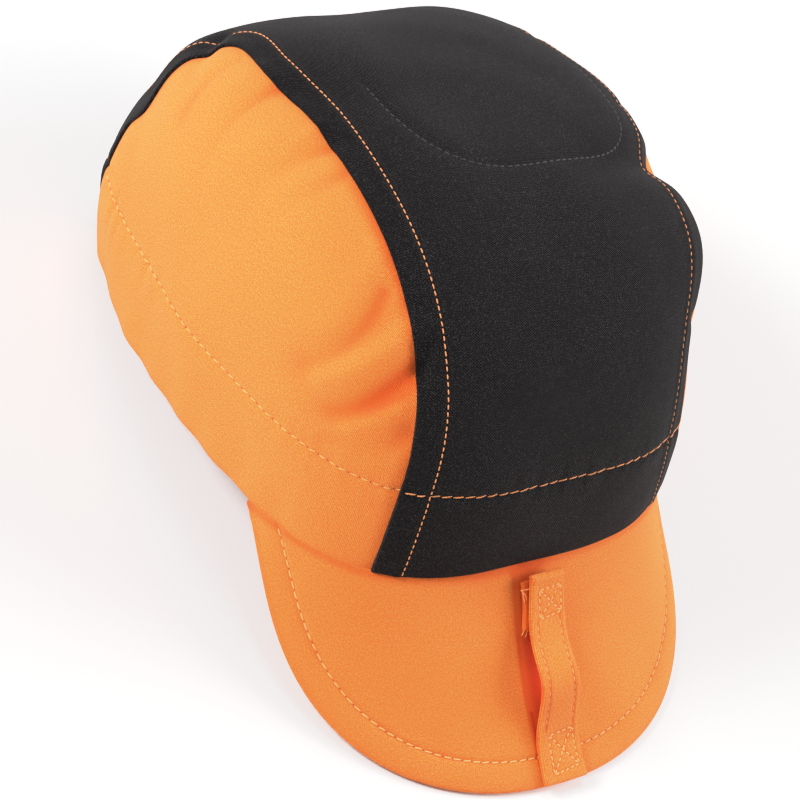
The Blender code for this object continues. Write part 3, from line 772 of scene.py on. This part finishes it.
def brim_flat(way, out):
    """The brim laid flat: each ruling is turned from the last by what the edge gains on the
    root, and its points keep their distance along it."""
    root = brim_top(way[:, 0], 0.0 * way[:, 0])
    edge = brim_top(way[:, 0], 1.0 + 0.0 * way[:, 0])
    near = np.linalg.norm(np.diff(root, axis=0), axis=1)
    far = np.linalg.norm(np.diff(edge, axis=0), axis=1)
    length = brim_length(way[:, 0])
    usual = np.maximum(0.5 * (length[1:] + length[:-1]), 0.02)
    turn = np.concatenate([[0.0], np.cumsum((far - near) / usual)])
    turn -= turn[len(turn) // 2]
    middle = 0.5 * (turn[1:] + turn[:-1])
    steps = near[:, None] * np.stack([np.cos(middle), np.sin(middle)], axis=-1)
    start = np.concatenate([np.zeros((1, 2)), np.cumsum(steps, axis=0)])
    away = np.stack([np.sin(turn), -np.cos(turn)], axis=-1)
    return start[:, None] + away[:, None] * (out * length[:, None])[..., None]


def brim_mesh():
    """The brim: two skins with a round edge, puffed outside the stitch that runs round it, with
    painted shade in its grooves, at its root under the crown's edge and under and beside the
    pencil loop, and a deeper red along its edge."""
    way, out = brim_places()
    points = brim_top(way, out)
    gap = line_gap(points, brim_edge_line())
    relief = brim_relief(points, gap)
    root = out * brim_length(way)
    edge = rounding(gap, 0.0011) * rounding((BRIM_BLUNT - np.abs(way)) * 0.12, 0.0008)
    edge *= rounding(root + BRIM_TUCK, 0.0003)
    edge[:, [0, -1]] = 0.0
    edge[[0, -1]] = 0.0
    half = 0.5 * BRIM_THICK * (1.0 - edge)
    upper = on_brim(way, out, relief * edge - half)
    lower = on_brim(way, out, half - BRIM_THICK - 0.7 * relief * edge)
    # Painted shadow of the pencil loop: deep red under its arch and in a narrow line along its left side.
    aside = points[..., 0] - BRIM_LENGTH * math.sin(BRIM_YAW) * out + 0.5 * LOOP_END_WIDTH - LOOP_SHIFT
    under = np.where(aside > 0.0, bell(aside - 0.0045, 0.0060), bell(aside, 0.0013))
    beside = under * (0.45 + 0.55 * smooth((out - 0.16) / 0.22)) * smooth((1.02 - out) / 0.10)
    # Painted shade in the grooves and at the root under the crown's edge, a deeper red along the edge, and
    # the loop's painted shadow, which goes deepest.
    painted_shade_and_deep_red = np.clip(-relief / 0.0012, 0.0, 1.0) + 0.62 * bell(root - 0.0003, 0.0021)
    painted_shade_and_deep_red = painted_shade_and_deep_red + 0.40 * bell(gap, 0.0026) + 2.0 * beside
    return shell_mesh("brim_cloth", upper, lower, edge < 1e-6, brim_flat(way, out), painted_shade_and_deep_red)


def loop_ways(passed, across):
    """Ways round the rim and out on the brim, for a place along and across the pencil loop."""
    out = (LOOP_TOP_INSET + passed) / BRIM_LENGTH
    step = 1e-3
    spread = (brim_top(0.0 * out + step, out) - brim_top(0.0 * out, out))[..., 0] / step
    return across / spread, out


def loop_arch(passed):
    """How far the loop's middle stands off, from 0 where it is sewn to 1 half way."""
    rise = smooth((passed - LOOP_SEWN) / LOOP_HALF_RUN)
    return rise * smooth((LOOP_RUN - passed - LOOP_SEWN) / LOOP_HALF_RUN)


def on_loop(passed, across, up):
    """Where the standing cap's pencil loop lies, a distance up from its underside."""
    arch = loop_arch(passed)
    fold = LOOP_FOLD_RISE * smooth(1.0 - (passed - LOOP_SEWN) / LOOP_HALF_RUN) * (1.0 - arch)
    under = CLEARANCE + LOOP_STAND_OFF * arch + fold
    way, out = loop_ways(passed, across)
    base = brim_top(way, out)
    flat = brim_top(0.0 * passed, out)
    flat[..., 0] += across
    base += (flat - base) * arch[..., None]
    points = base + brim_normal(0.0 * passed, out) * (under + up)[..., None]
    return standing(brim_rested(points, way, out))


def on_flap(passed, across, up):
    """Where the folded-under end of the strap lies, a distance up from the brim."""
    return on_brim(*loop_ways(passed, across), CLEARANCE + up)


def loop_width(passed):
    """The strap is a little wider towards the brim's edge."""
    return LOOP_TOP_WIDTH + (LOOP_END_WIDTH - LOOP_TOP_WIDTH) * passed / LOOP_RUN


def loop_aside(passed):
    """How far the strap's middle line lies to the wearer's left of the brim's."""
    return LOOP_TOP_SHIFT + (LOOP_SHIFT - LOOP_TOP_SHIFT) * smooth(passed / 0.030)


def box_lines(corners):
    """The four sides and the two diagonals of a sewn box on the strap, as pairs of ends."""
    ends = np.array([(passed if passed > 0.0 else LOOP_RUN + passed, across) for passed, across in corners])
    return [(ends[start], ends[end]) for start, end in ((0, 1), (1, 2), (2, 3), (3, 0), (0, 2), (1, 3))]


def loop_groove(passed, across):
    """Stitch lines pull the strap's top in: along its edges and round and across its boxes."""
    inset = loop_width(passed) / 2.0 - np.abs(across)
    between = smooth((passed - 0.010) / 0.004) * smooth((LOOP_RUN - 0.014 - passed) / 0.004)
    depth = 0.00034 * bell(inset - LOOP_STITCH_INSET, 0.00055) * between
    place = np.stack([passed, across], axis=-1)
    for start, end in box_lines(TOP_BOX) + box_lines(END_BOX):
        leg = end - start
        way = np.clip((place - start) @ leg / (leg @ leg), 0.0, 1.0)
        gap = np.linalg.norm(place - start - way[..., None] * leg, axis=-1)
        depth = np.maximum(depth, 0.00030 * bell(gap, 0.00055))
    return depth


def strap_section(half, side, inset, height, columns):
    """Across and up on one skin of a flat oval strap, creased at both sides where its plies
    meet: the side's short curve, level columns at the height, and the curve again."""
    tuck, rise = np.array(side) * 1e-3
    middle = np.linspace(-1.0, 1.0, columns + 2)[None, 1:-1]
    sides = half - tuck[None, :]
    across = np.concatenate([-sides, middle * (half - inset), sides[:, ::-1]], axis=1)
    return across, np.concatenate([rise, np.full(columns, height), rise[::-1]])[None, :]


def loop_mesh():
    """The pencil loop: a strap of two plies, carried from its folded end to its cut end."""
    reach = LOOP_RUN + LOOP_TOP_REACH + LOOP_END_REACH
    passed = spaced(reach, 0.00042, 0.0003)[:, None] - LOOP_TOP_REACH
    across, up = strap_section(loop_width(passed) / 2.0, LOOP_SIDE, 0.0009, 1.2e-3, 29)
    ends = rounding(np.minimum(passed + LOOP_TOP_REACH, LOOP_RUN + LOOP_END_REACH - passed), 0.0012)
    way = passed + 0.0 * across
    puff = 0.00016 * np.sin(way / 0.0031) * np.sin(across / 0.0021 + 1.0)
    roll = 0.0006 * bell(passed + LOOP_TOP_REACH - 0.0016, 0.0013)
    groove = loop_groove(way, across)
    relief = (puff + roll - groove) * smooth(up / 1.2e-3)
    centre = 0.5 * LOOP_THICK
    aside = across + loop_aside(way)
    upper = on_loop(way, aside, centre + (up + relief) * ends)
    lower = on_loop(way, aside, centre - up * ends)
    # Painted shade: deeper red in the stitch grooves and in the creases where the plies meet at the sides,
    # and a slightly deeper red band part way along.
    painted_shade_and_deep_red = np.clip(groove / 0.0005, 0.0, 0.8) + 0.9 * bell(up / 1.0e-3, 0.35)
    painted_shade_and_deep_red = painted_shade_and_deep_red + 0.25 * bell(way - 0.60 * LOOP_RUN, 0.010)
    flat = np.stack([across, way], axis=-1)
    return shell_mesh("pencil_loop_cloth", upper, lower, up * ends < 1e-7, flat, painted_shade_and_deep_red)


def flap_mesh():
    """The end of the strap, folded under its top: a flat ply with a rough cut end."""
    passed = spaced(FLAP_LENGTH, 0.0005, 0.0003)[:, None]
    across, up = strap_section(FLAP_HALF + 0.0 * passed, FLAP_SIDE, 0.0007, 0.85e-3, 18)
    ragged = 0.0004 * np.sin(across / 0.0006) * smooth(passed / FLAP_LENGTH * 4.0 - 3.0)
    way = passed + ragged + 0.0006
    across = across - FLAP_SHIFT + 0.0005 * np.sin(passed / 0.004)
    thick = up * rounding(np.minimum(passed, FLAP_LENGTH - passed), 0.0006)
    upper = on_flap(way, across, 0.5 * FLAP_THICK + thick)
    lower = on_flap(way, across, 0.5 * FLAP_THICK - thick)
    flat = np.stack([across, way], axis=-1)
    # Painted shade over the whole flap, which lies under the strap.
    return shell_mesh("pencil_loop_flap", upper, lower, thick < 1e-7, flat, 0.75 + 0.0 * across)


def tube_faces(count, rings, sides):
    """Faces of tubes, each of some rings of corners and closed at both ends."""
    turn = np.arange(sides)
    after = (turn + 1) % sides
    row = (np.arange(rings - 1) * sides)[:, None]
    quads = np.stack([row + turn, row + after, row + sides + after, row + sides + turn], axis=-1)
    starts = np.arange(count) * rings * sides
    faces = (starts[:, None, None] + quads.reshape(1, -1, 4)).reshape(-1, 4).tolist()
    for first in starts.tolist():
        last = first + (rings - 1) * sides
        faces.append(list(range(first + sides - 1, first - 1, -1)))
        faces.append(list(range(last, last + sides)))
    return faces


def stitch_run(line, direction, stitch, rings=7, sides=6):
    """Stitches along a line on the cloth: each is a short round thread that bows out of the
    cloth, slants across the line, and thins where it goes back in."""
    passed = distance_along(line)
    count = max(1, int(round(passed[-1] / stitch.pitch)))
    draw = np.random.RandomState(stitch.seed)
    centre = (np.arange(count) + stitch.phase) * passed[-1] / count
    centre = centre + draw.uniform(-0.05, 0.05, count) * stitch.pitch
    length = stitch.pitch * stitch.cover * (1.0 + draw.uniform(-0.08, 0.08, count))
    lean = stitch.slant + draw.uniform(-0.05, 0.05, count)
    way = np.linspace(-0.5, 0.5, rings)
    place = centre[:, None] + length[:, None] * way[None, :]

    def read(vectors):
        return np.stack([np.interp(place, passed, vectors[:, axis]) for axis in range(3)], axis=-1)

    up = unit(read(direction))
    aside = unit(np.cross(up, unit(read(np.gradient(line, passed, axis=0)))))
    spot = read(line) + aside * (length[:, None] * way * np.tan(lean)[:, None])[..., None]
    bow = np.sqrt(np.clip(1.0 - (2.0 * way) ** 2, 0.0, 1.0))
    lift = stitch.radius * (1.0 - stitch.sink) * bow - stitch.radius * 1.1 * (1.0 - bow)
    spot = spot + up * (lift[None, :] + 0.0 * place)[..., None]
    thick = stitch.radius * (0.55 + 0.45 * np.sqrt(bow))
    angle = np.linspace(0.0, 2.0 * math.pi, sides, endpoint=False)
    ply = 1.0 + 0.10 * np.cos(2.0 * angle[None, :] - 5.0 * way[:, None])
    out = aside[:, :, None] * np.cos(angle)[:, None] * 1.15 + up[:, :, None] * np.sin(angle)[:, None]
    ring = spot[:, :, None] + out * (thick[:, None] * ply)[None, :, :, None]
    return ring.reshape(-1, 3), tube_faces(count, rings, sides)


def thread_end(line, sides=6):
    """A loose end of thread: a round tube along a smooth line, closed at both ends."""
    ahead = unit(np.gradient(line, axis=0))
    aside = unit(np.cross(ahead, np.array([0.3, 0.2, 1.0])))
    up = np.cross(aside, ahead)
    angle = np.linspace(0.0, 2.0 * math.pi, sides, endpoint=False)
    out = aside[:, None] * np.cos(angle)[:, None] + up[:, None] * np.sin(angle)[:, None]
    points = (line[:, None] + out * FRAYED_RADIUS).reshape(-1, 3)
    return points, tube_faces(1, len(line), sides)


def loose_ends():
    """Frayed threads at the flap, each on a quadratic curve."""
    share = np.linspace(0.0, 1.0, 14)[:, None]
    weights = np.concatenate([(1.0 - share) ** 2, 2.0 * share * (1.0 - share), share ** 2], axis=1)
    ends = []
    for corners in FRAYED:
        passed, beyond, up = (weights @ np.array(corners)).T * 1e-3
        ends.append(thread_end(on_flap(passed, -FLAP_HALF - FLAP_SHIFT - beyond, up)))
    return ends


def loop_stitches():
    """Threads on the strap: round and across both boxes, and along both edges between them."""
    share = np.linspace(0.0, 1.0, 24)
    lines = []
    for start, end in box_lines(TOP_BOX) + box_lines(END_BOX):
        lines.append((*(start[:, None] + (end - start)[:, None] * share), LOOP_BOX_STITCH))
    passed = np.linspace(0.0145, LOOP_RUN - 0.0185, 60)
    for edge in (-1.0, 1.0):
        lines.append((passed, edge * (loop_width(passed) / 2.0 - LOOP_STITCH_INSET), LOOP_EDGE_STITCH))
    runs = []
    for number, (passed, across, stitch) in enumerate(lines):
        top = 0.5 * LOOP_THICK + 0.0012 - loop_groove(passed, across)
        aside = across + loop_aside(passed)
        path = on_loop(passed, aside, top)
        above = on_loop(passed, aside, top + 0.001)
        runs.append(stitch_run(path, unit(above - path), stitch._replace(seed=stitch.seed + number)))
    return runs


def pad_stitch():
    """The dark stitch round the pad on the top of the strip."""
    angle = np.linspace(-math.pi, 0.08, 300)
    size = pad_size(np.cos(angle), np.sin(angle))
    across = PAD_CENTRE[0] + PAD_HALF[0] * np.cos(angle) / size
    onward = np.radians(PAD_CENTRE[1] + PAD_HALF[1] * np.sin(angle) / size)
    points = crown_point(CROWN_SIDE * across, onward)
    return cloth_path(points, strip_relief(points, seam_gap(points)))


def topstitch(side):
    """The stitch along a seam of the strip, from the front rim to the back rim."""
    along = np.linspace(0.002, 0.998, 900)
    points = strip_point(strip_edge(side, along) - side * TOPSTITCH_INSET, along)
    return cloth_path(points, strip_relief(points, np.full(len(along), TOPSTITCH_INSET)))


def band_stitch():
    """The stitch round the crown at the height of the hem: its lines over the strip at the
    front and the back, and its lines over both side panels."""
    crossings = []
    for side, front in ((-1, True), (1, True), (1, False), (-1, False)):
        turn, _ = seam_crossing(side, HEM_HEIGHT, front)
        crossings.append(side * float(turn))
    right, left, left_back, right_back = crossings
    lines = []
    for relief, start, end in (
        (strip_relief, right, left),
        (side_relief, left, left_back),
        (strip_relief, left_back, 2.0 * math.pi + right_back),
        (side_relief, right_back, right),
    ):
        turn = np.linspace(start, end, 700)
        points = ring_point(turn, HEM_HEIGHT + 0.0 * turn)
        lines.append(cloth_path(points, relief(points, seam_gap(points))))
    return lines[::2], lines[1::2]


def brim_path():
    """The line at the stitch's distance from the brim's edge, from its right end to its left."""
    way = np.linspace(-0.93, 0.93, 420)
    out = np.linspace(0.0, 1.0, 90)
    grid_way, grid_out = np.meshgrid(way, out, indexing="ij")
    gap = line_gap(brim_top(grid_way, grid_out), brim_edge_line())
    reach = gap[:, 0] > BRIM_STITCH_INSET
    place = np.array([np.interp(BRIM_STITCH_INSET, row[::-1], out[::-1]) for row in gap])[reach]
    way = way[reach]
    relief = brim_relief(brim_top(way, place), np.full(len(way), BRIM_STITCH_INSET))
    return on_brim(way, place, relief), turned(brim_normal(way, place))


class Value:
    """A socket in shader maths: an expression on it adds its Math nodes."""

    def __init__(self, finish, socket):
        self.finish = finish
        self.socket = socket

    def __add__(self, other):
        return self.finish.maths("ADD", self, other)

    def __sub__(self, other):
        return self.finish.maths("SUBTRACT", self, other)

    def __rsub__(self, other):
        return self.finish.maths("SUBTRACT", other, self)

    def __mul__(self, other):
        return self.finish.maths("MULTIPLY", self, other)

    __radd__ = __add__
    __rmul__ = __mul__


class Finish:
    """A material being built from nodes."""

    def __init__(self, name):
        self.material = bpy.data.materials.new(name)
        self.material.use_nodes = True
        self.tree = self.material.node_tree
        self.tree.nodes.clear()

    def node(self, kind, settings=None, inputs=None, output=0):
        """Add a node, set what it is first, then its sockets, and give one of its outputs."""
        node = self.tree.nodes.new(kind)
        for name, value in (settings or {}).items():
            setattr(node, name, value)
        for key, value in (inputs or {}).items():
            if isinstance(value, Value):
                self.tree.links.new(value.socket, node.inputs[key])
            elif isinstance(value, tuple) and node.inputs[key].type == "RGBA":
                node.inputs[key].default_value = (*value, 1.0)
            else:
                node.inputs[key].default_value = value
        return Value(self, node.outputs[output])

    def maths(self, operation, *terms):
        """One Math node on values and numbers."""
        return self.node("ShaderNodeMath", {"operation": operation}, dict(enumerate(terms)))

    def mix(self, share, first, second):
        """Blend two colours."""
        return self.node("ShaderNodeMix", {"data_type": "RGBA"}, {0: share, 6: first, 7: second}, 2)

    def place(self):
        """Where on the object a point lies."""
        return self.node("ShaderNodeTexCoord", output="Object")

    def noise(self, place, scale, detail=2.0, rough=0.5):
        """Cloudy noise between 0 and 1."""
        return self.node("ShaderNodeTexNoise", None, {
            "Vector": place, "Scale": scale, "Detail": detail, "Roughness": rough}, "Fac")

    def band(self, value, low, high):
        """0 below one number and 1 above another, eased between them."""
        return self.node("ShaderNodeMapRange", {"interpolation_type": "SMOOTHSTEP"}, {
            "Value": value, "From Min": low, "From Max": high})

    def bump(self, height, distance, strength=1.0):
        """Bend the normal by a height, in metres for each unit."""
        return self.node("ShaderNodeBump", None, {
            "Height": height, "Distance": distance, "Strength": strength})

    def shader(self, colour, rough, normal, plain):
        """Finish with the one shader of the material; plain numbers go on its own sockets."""
        shade = self.node("ShaderNodeBsdfPrincipled", None, {
            "Base Color": colour, "Roughness": rough, "Normal": normal, **plain})
        end = self.tree.nodes.new("ShaderNodeOutputMaterial")
        self.tree.links.new(shade.socket, end.inputs["Surface"])
        return self.material


def twill_weave(finish, lean, pitch=0.00052):
    """Height of a twill weave on the cloth's flat map, 0 to 1: round ribs at a slant, each cut
    into short floats, with the slant and the yarns wavering a little."""
    flat = finish.node("ShaderNodeUVMap", {"uv_map": "cloth_map"})
    across = finish.node("ShaderNodeSeparateXYZ", None, {0: flat}, "X")
    along = Value(finish, across.socket.node.outputs["Y"])
    waver = finish.noise(flat, 160.0, 2.0) - 0.5
    slant = across * math.cos(lean) + along * math.sin(lean)
    onward = along * math.cos(lean) - across * math.sin(lean)
    turn = slant * (2.0 * math.pi / pitch) + waver * 2.2
    rib = finish.maths("SINE", turn) * 0.5 + 0.5
    floats = finish.maths("SINE", onward * (2.0 * math.pi / (1.9 * pitch)) + turn * 0.5) * 0.5 + 0.5
    return flat, rib * 0.72 + rib * floats * 0.28


def orange_twill(name, lean):
    """Orange cotton twill: slanted ribs, yarns that vary, and painted shade: a deeper red in its creases and
    where shade falls, darker red where it is deepest.
    """
    finish = Finish(name)
    flat, weave = twill_weave(finish, lean)
    place = finish.place()
    painted_shade_and_deep_red = finish.node("ShaderNodeAttribute", {"attribute_name": "painted_shade_and_deep_red"}, None, "Fac")
    cloudy = finish.noise(place, 38.0, 3.0)
    yarn = finish.noise(flat, 900.0, 2.0, 0.7)
    grain = finish.noise(flat, 1900.0, 1.0, 0.5)
    colour = finish.mix(finish.band(weave * 0.45 + grain, 0.30, 0.86), ORANGE_DEEP_YARN_AND_SHADE, ORANGE_YARN)
    high = finish.band(weave * 0.3 + grain, 0.62, 1.0) * 0.9 + (yarn - 0.45) * 0.7
    colour = finish.mix(high, colour, ORANGE_HIGH)
    colour = finish.mix(0.10 + cloudy * 0.18, colour, ORANGE_YARN)
    # Painted shade from the mesh attribute: a deeper red, then a darker shadow red past 1.
    colour = finish.mix(finish.band(painted_shade_and_deep_red, 0.05, 1.0) * 0.80, colour, ORANGE_DEEP_YARN_AND_SHADE)
    colour = finish.mix(finish.band(painted_shade_and_deep_red, 1.0, 2.2), colour, PAINTED_SHADOW_RED)
    fuzz = finish.noise(place, 5200.0, 2.0, 0.7)
    normal = finish.bump(weave * 0.8 + yarn * 0.8 + grain * 1.0 + fuzz * 0.6, 0.00018)
    return finish.shader(colour, 0.86, normal, {
        "Sheen Weight": 0.12, "Sheen Roughness": 0.45, "Sheen Tint": (1.0, 0.72, 0.40),
        "Subsurface Weight": 0.22, "Subsurface Radius": (1.0, 0.22, 0.05), "Subsurface Scale": 0.0016,
        "Specular IOR Level": 0.20})


def black_twill(name, lean):
    """Black cotton twill: the same ribs, a grey bloom on its raised yarns and a little lint."""
    finish = Finish(name)
    flat, weave = twill_weave(finish, lean, 0.00062)
    place = finish.place()
    cloudy = finish.noise(place, 30.0, 3.0)
    yarn = finish.noise(flat, 1100.0, 2.0, 0.7)
    speck = finish.noise(place, 2600.0, 1.0, 0.4)
    bloom = finish.band(weave, 0.45, 0.95) * 0.42 + finish.band(speck, 0.55, 0.70)
    colour = finish.mix(bloom * (cloudy * 0.6 + 0.2), BLACK_YARN, BLACK_HIGH)
    fuzz = finish.noise(place, 5200.0, 2.0, 0.7)
    normal = finish.bump(weave * 1.2 + yarn * 0.9 + fuzz * 0.6, 0.00018)
    return finish.shader(colour, 0.78, normal, {
        "Sheen Weight": 0.035, "Sheen Roughness": 0.35, "Sheen Tint": (0.95, 0.92, 0.94),
        "Specular IOR Level": 0.10})


def thread_finish(name, colours):
    """Spun thread: fine streaks and a soft gloss."""
    finish = Finish(name)
    streak = finish.noise(finish.place(), 2400.0, 2.0, 0.6)
    normal = finish.bump(streak, 0.00008, 0.6)
    return finish.shader(finish.mix(streak, *colours), 0.55, normal, {
        "Sheen Weight": 0.15, "Sheen Roughness": 0.4, "Specular IOR Level": 0.4})


def floor_finish():
    """Plain pale paper, a little mottled."""
    finish = Finish("pale_floor")
    place = finish.place()
    colour = finish.mix(finish.noise(place, 3.0, 2.0) * 0.05, *FLOOR_PAINT)
    normal = finish.bump(finish.noise(place, 900.0), 0.00005, 0.2)
    return finish.shader(colour, 0.9, normal, {"Specular IOR Level": 0.1})


def shown(name, thing):
    """Put something in the scene."""
    piece = bpy.data.objects.new(name, thing)
    bpy.context.scene.collection.objects.link(piece)
    return piece


def add_piece(mesh, finish, node=None):
    """Show one piece: it rides with the cap, and may stand for one of the cap's solids."""
    piece = shown(mesh.name, mesh)
    mesh.materials.append(finish)
    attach(piece, "root")
    if node:
        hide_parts(node)


def add_threads(name, runs, finish):
    """Show one mesh of many threads."""
    points = []
    faces = []
    count = 0
    for spots, ring in runs:
        points.append(spots)
        faces.extend([[corner + count for corner in face] for face in ring])
        count += len(spots)
    mesh = bpy.data.meshes.new(name)
    mesh.from_pydata(np.concatenate(points).tolist(), [], faces)
    mesh.shade_smooth()
    mesh.update()
    add_piece(mesh, finish)


def make_pieces():
    """Make every piece of the cap."""
    orange = orange_twill("orange_twill_cloth", math.radians(3.0))
    orange_brim = orange_twill("orange_twill_brim", math.radians(115.0))
    black = black_twill("black_twill_cloth", math.radians(40.0))
    peach = thread_finish("peach_thread", PEACH_THREAD)
    pale = thread_finish("pale_thread", PALE_THREAD)
    dark = thread_finish("dark_thread", DARK_THREAD)
    # Dark red painted shade in the needle holes, shaped like short threads
    hole_shade_finish = thread_finish("needle_hole_painted_shade", NEEDLE_HOLE_SHADE)

    add_piece(strip_mesh(), black, "centre_panel")
    add_piece(side_mesh("side_panel_right_cloth", -1), orange, "side_panel_right")
    add_piece(side_mesh("side_panel_left_cloth", 1), orange, "side_panel_left")
    add_piece(brim_mesh(), orange_brim, "brim")
    add_piece(loop_mesh(), orange, "pencil_loop")

    seams = [stitch_run(*topstitch(-1), RIGHT_SEAM_STITCH), stitch_run(*topstitch(1), LEFT_SEAM_STITCH)]
    add_threads("seam_topstitch", seams, peach)
    on_strip, on_sides = band_stitch()
    add_threads("band_stitch_on_strip", [stitch_run(*path, STRIP_BAND_STITCH) for path in on_strip], peach)
    add_threads("band_stitch_on_sides", [stitch_run(*path, SIDE_BAND_STITCH) for path in on_sides], pale)
    brim_line = brim_path()
    # Painted shade: short dark red marks at the needle holes along the side band stitch and the brim stitch
    hole_shade_runs = [stitch_run(*path, SIDE_BAND_HOLE_SHADE) for path in on_sides]
    add_threads("needle_hole_shade_marks", hole_shade_runs + [stitch_run(*brim_line, BRIM_HOLE_SHADE)], hole_shade_finish)
    add_threads("brim_stitch", [stitch_run(*brim_line, BRIM_STITCH)], pale)
    add_piece(flap_mesh(), orange)
    add_threads("pencil_loop_stitch", loop_stitches(), pale)
    add_threads("loose_thread_ends", loose_ends(), pale)
    add_threads("pad_stitch", [stitch_run(*pad_stitch(), PAD_STITCH)], dark)


def make_studio():
    """Pale floor, soft lamps and an even pale surround."""
    half = 4.0
    low = -0.0002
    corners = [(-half, -half, low), (half, -half, low), (half, half, low), (-half, half, low)]
    mesh = bpy.data.meshes.new("floor")
    mesh.from_pydata(corners, [], [(0, 1, 2, 3)])
    mesh.materials.append(floor_finish())
    floor = shown("floor", mesh)
    world = bpy.data.worlds.new("studio")
    world.use_nodes = True
    sky = world.node_tree.nodes["Background"]
    sky.inputs["Color"].default_value = (1.0, 1.0, 1.0, 1.0)
    sky.inputs["Strength"].default_value = SURROUND_LIGHT
    bpy.context.scene.world = world
    for lamp in LAMPS:
        light = bpy.data.lights.new(lamp.name, "AREA")
        light.shape = "SQUARE"
        light.size = lamp.size
        light.energy = lamp.power
        stand = shown(lamp.name, light)
        stand.location = lamp.place
        stand.rotation_euler = (Vector(LAMP_TARGET) - Vector(lamp.place)).to_track_quat("-Z", "Y").to_euler()


def set_tone():
    """Show the picture as the camera did: bright colours ease towards white along a curve."""
    view = bpy.context.scene.view_settings
    view.view_transform = "Standard"
    view.use_curve_mapping = True
    mapping = view.curve_mapping
    mapping.white_level = (WHITE_LIGHT, WHITE_LIGHT, WHITE_LIGHT)
    for curve, table in ((mapping.curves[3], TONE), (mapping.curves[0], RED_TONE)):
        for light, tone in table:
            curve.points.new(light, tone)
    mapping.update()


def make_camera():
    """The photograph's camera, placed round the worn cap and tilted with it."""
    azimuth, elevation = CAMERA_AZIMUTH, CAMERA_ELEVATION
    back = np.array([math.sin(azimuth) * math.cos(elevation), -math.cos(azimuth) * math.cos(elevation),
                     math.sin(elevation)])
    level = np.array([math.cos(azimuth), math.sin(azimuth), 0.0])
    upward = np.cross(back, level)
    right = level * math.cos(CAMERA_ROLL) + upward * math.sin(CAMERA_ROLL)
    above = upward * math.cos(CAMERA_ROLL) - level * math.sin(CAMERA_ROLL)
    place = turned(np.array(CAMERA_TARGET) + back * CAMERA_DISTANCE) + np.array(STAND_PLACE)
    lens = bpy.data.cameras.new("camera")
    lens.lens = CAMERA_LENS
    lens.sensor_width = CAMERA_SENSOR
    lens.shift_x, lens.shift_y = CAMERA_SHIFT
    lens.clip_start = 0.05
    lens.clip_end = 20.0
    camera = shown("camera", lens)
    axes = np.stack([turned(right), turned(above), turned(back)], axis=1)
    matrix = Matrix(axes.tolist()).to_4x4()
    matrix.translation = Vector(place.tolist())
    camera.matrix_world = matrix
    bpy.context.scene.camera = camera


make_camera()
make_studio()
make_pieces()
set_tone()
bpy.context.view_layer.update()
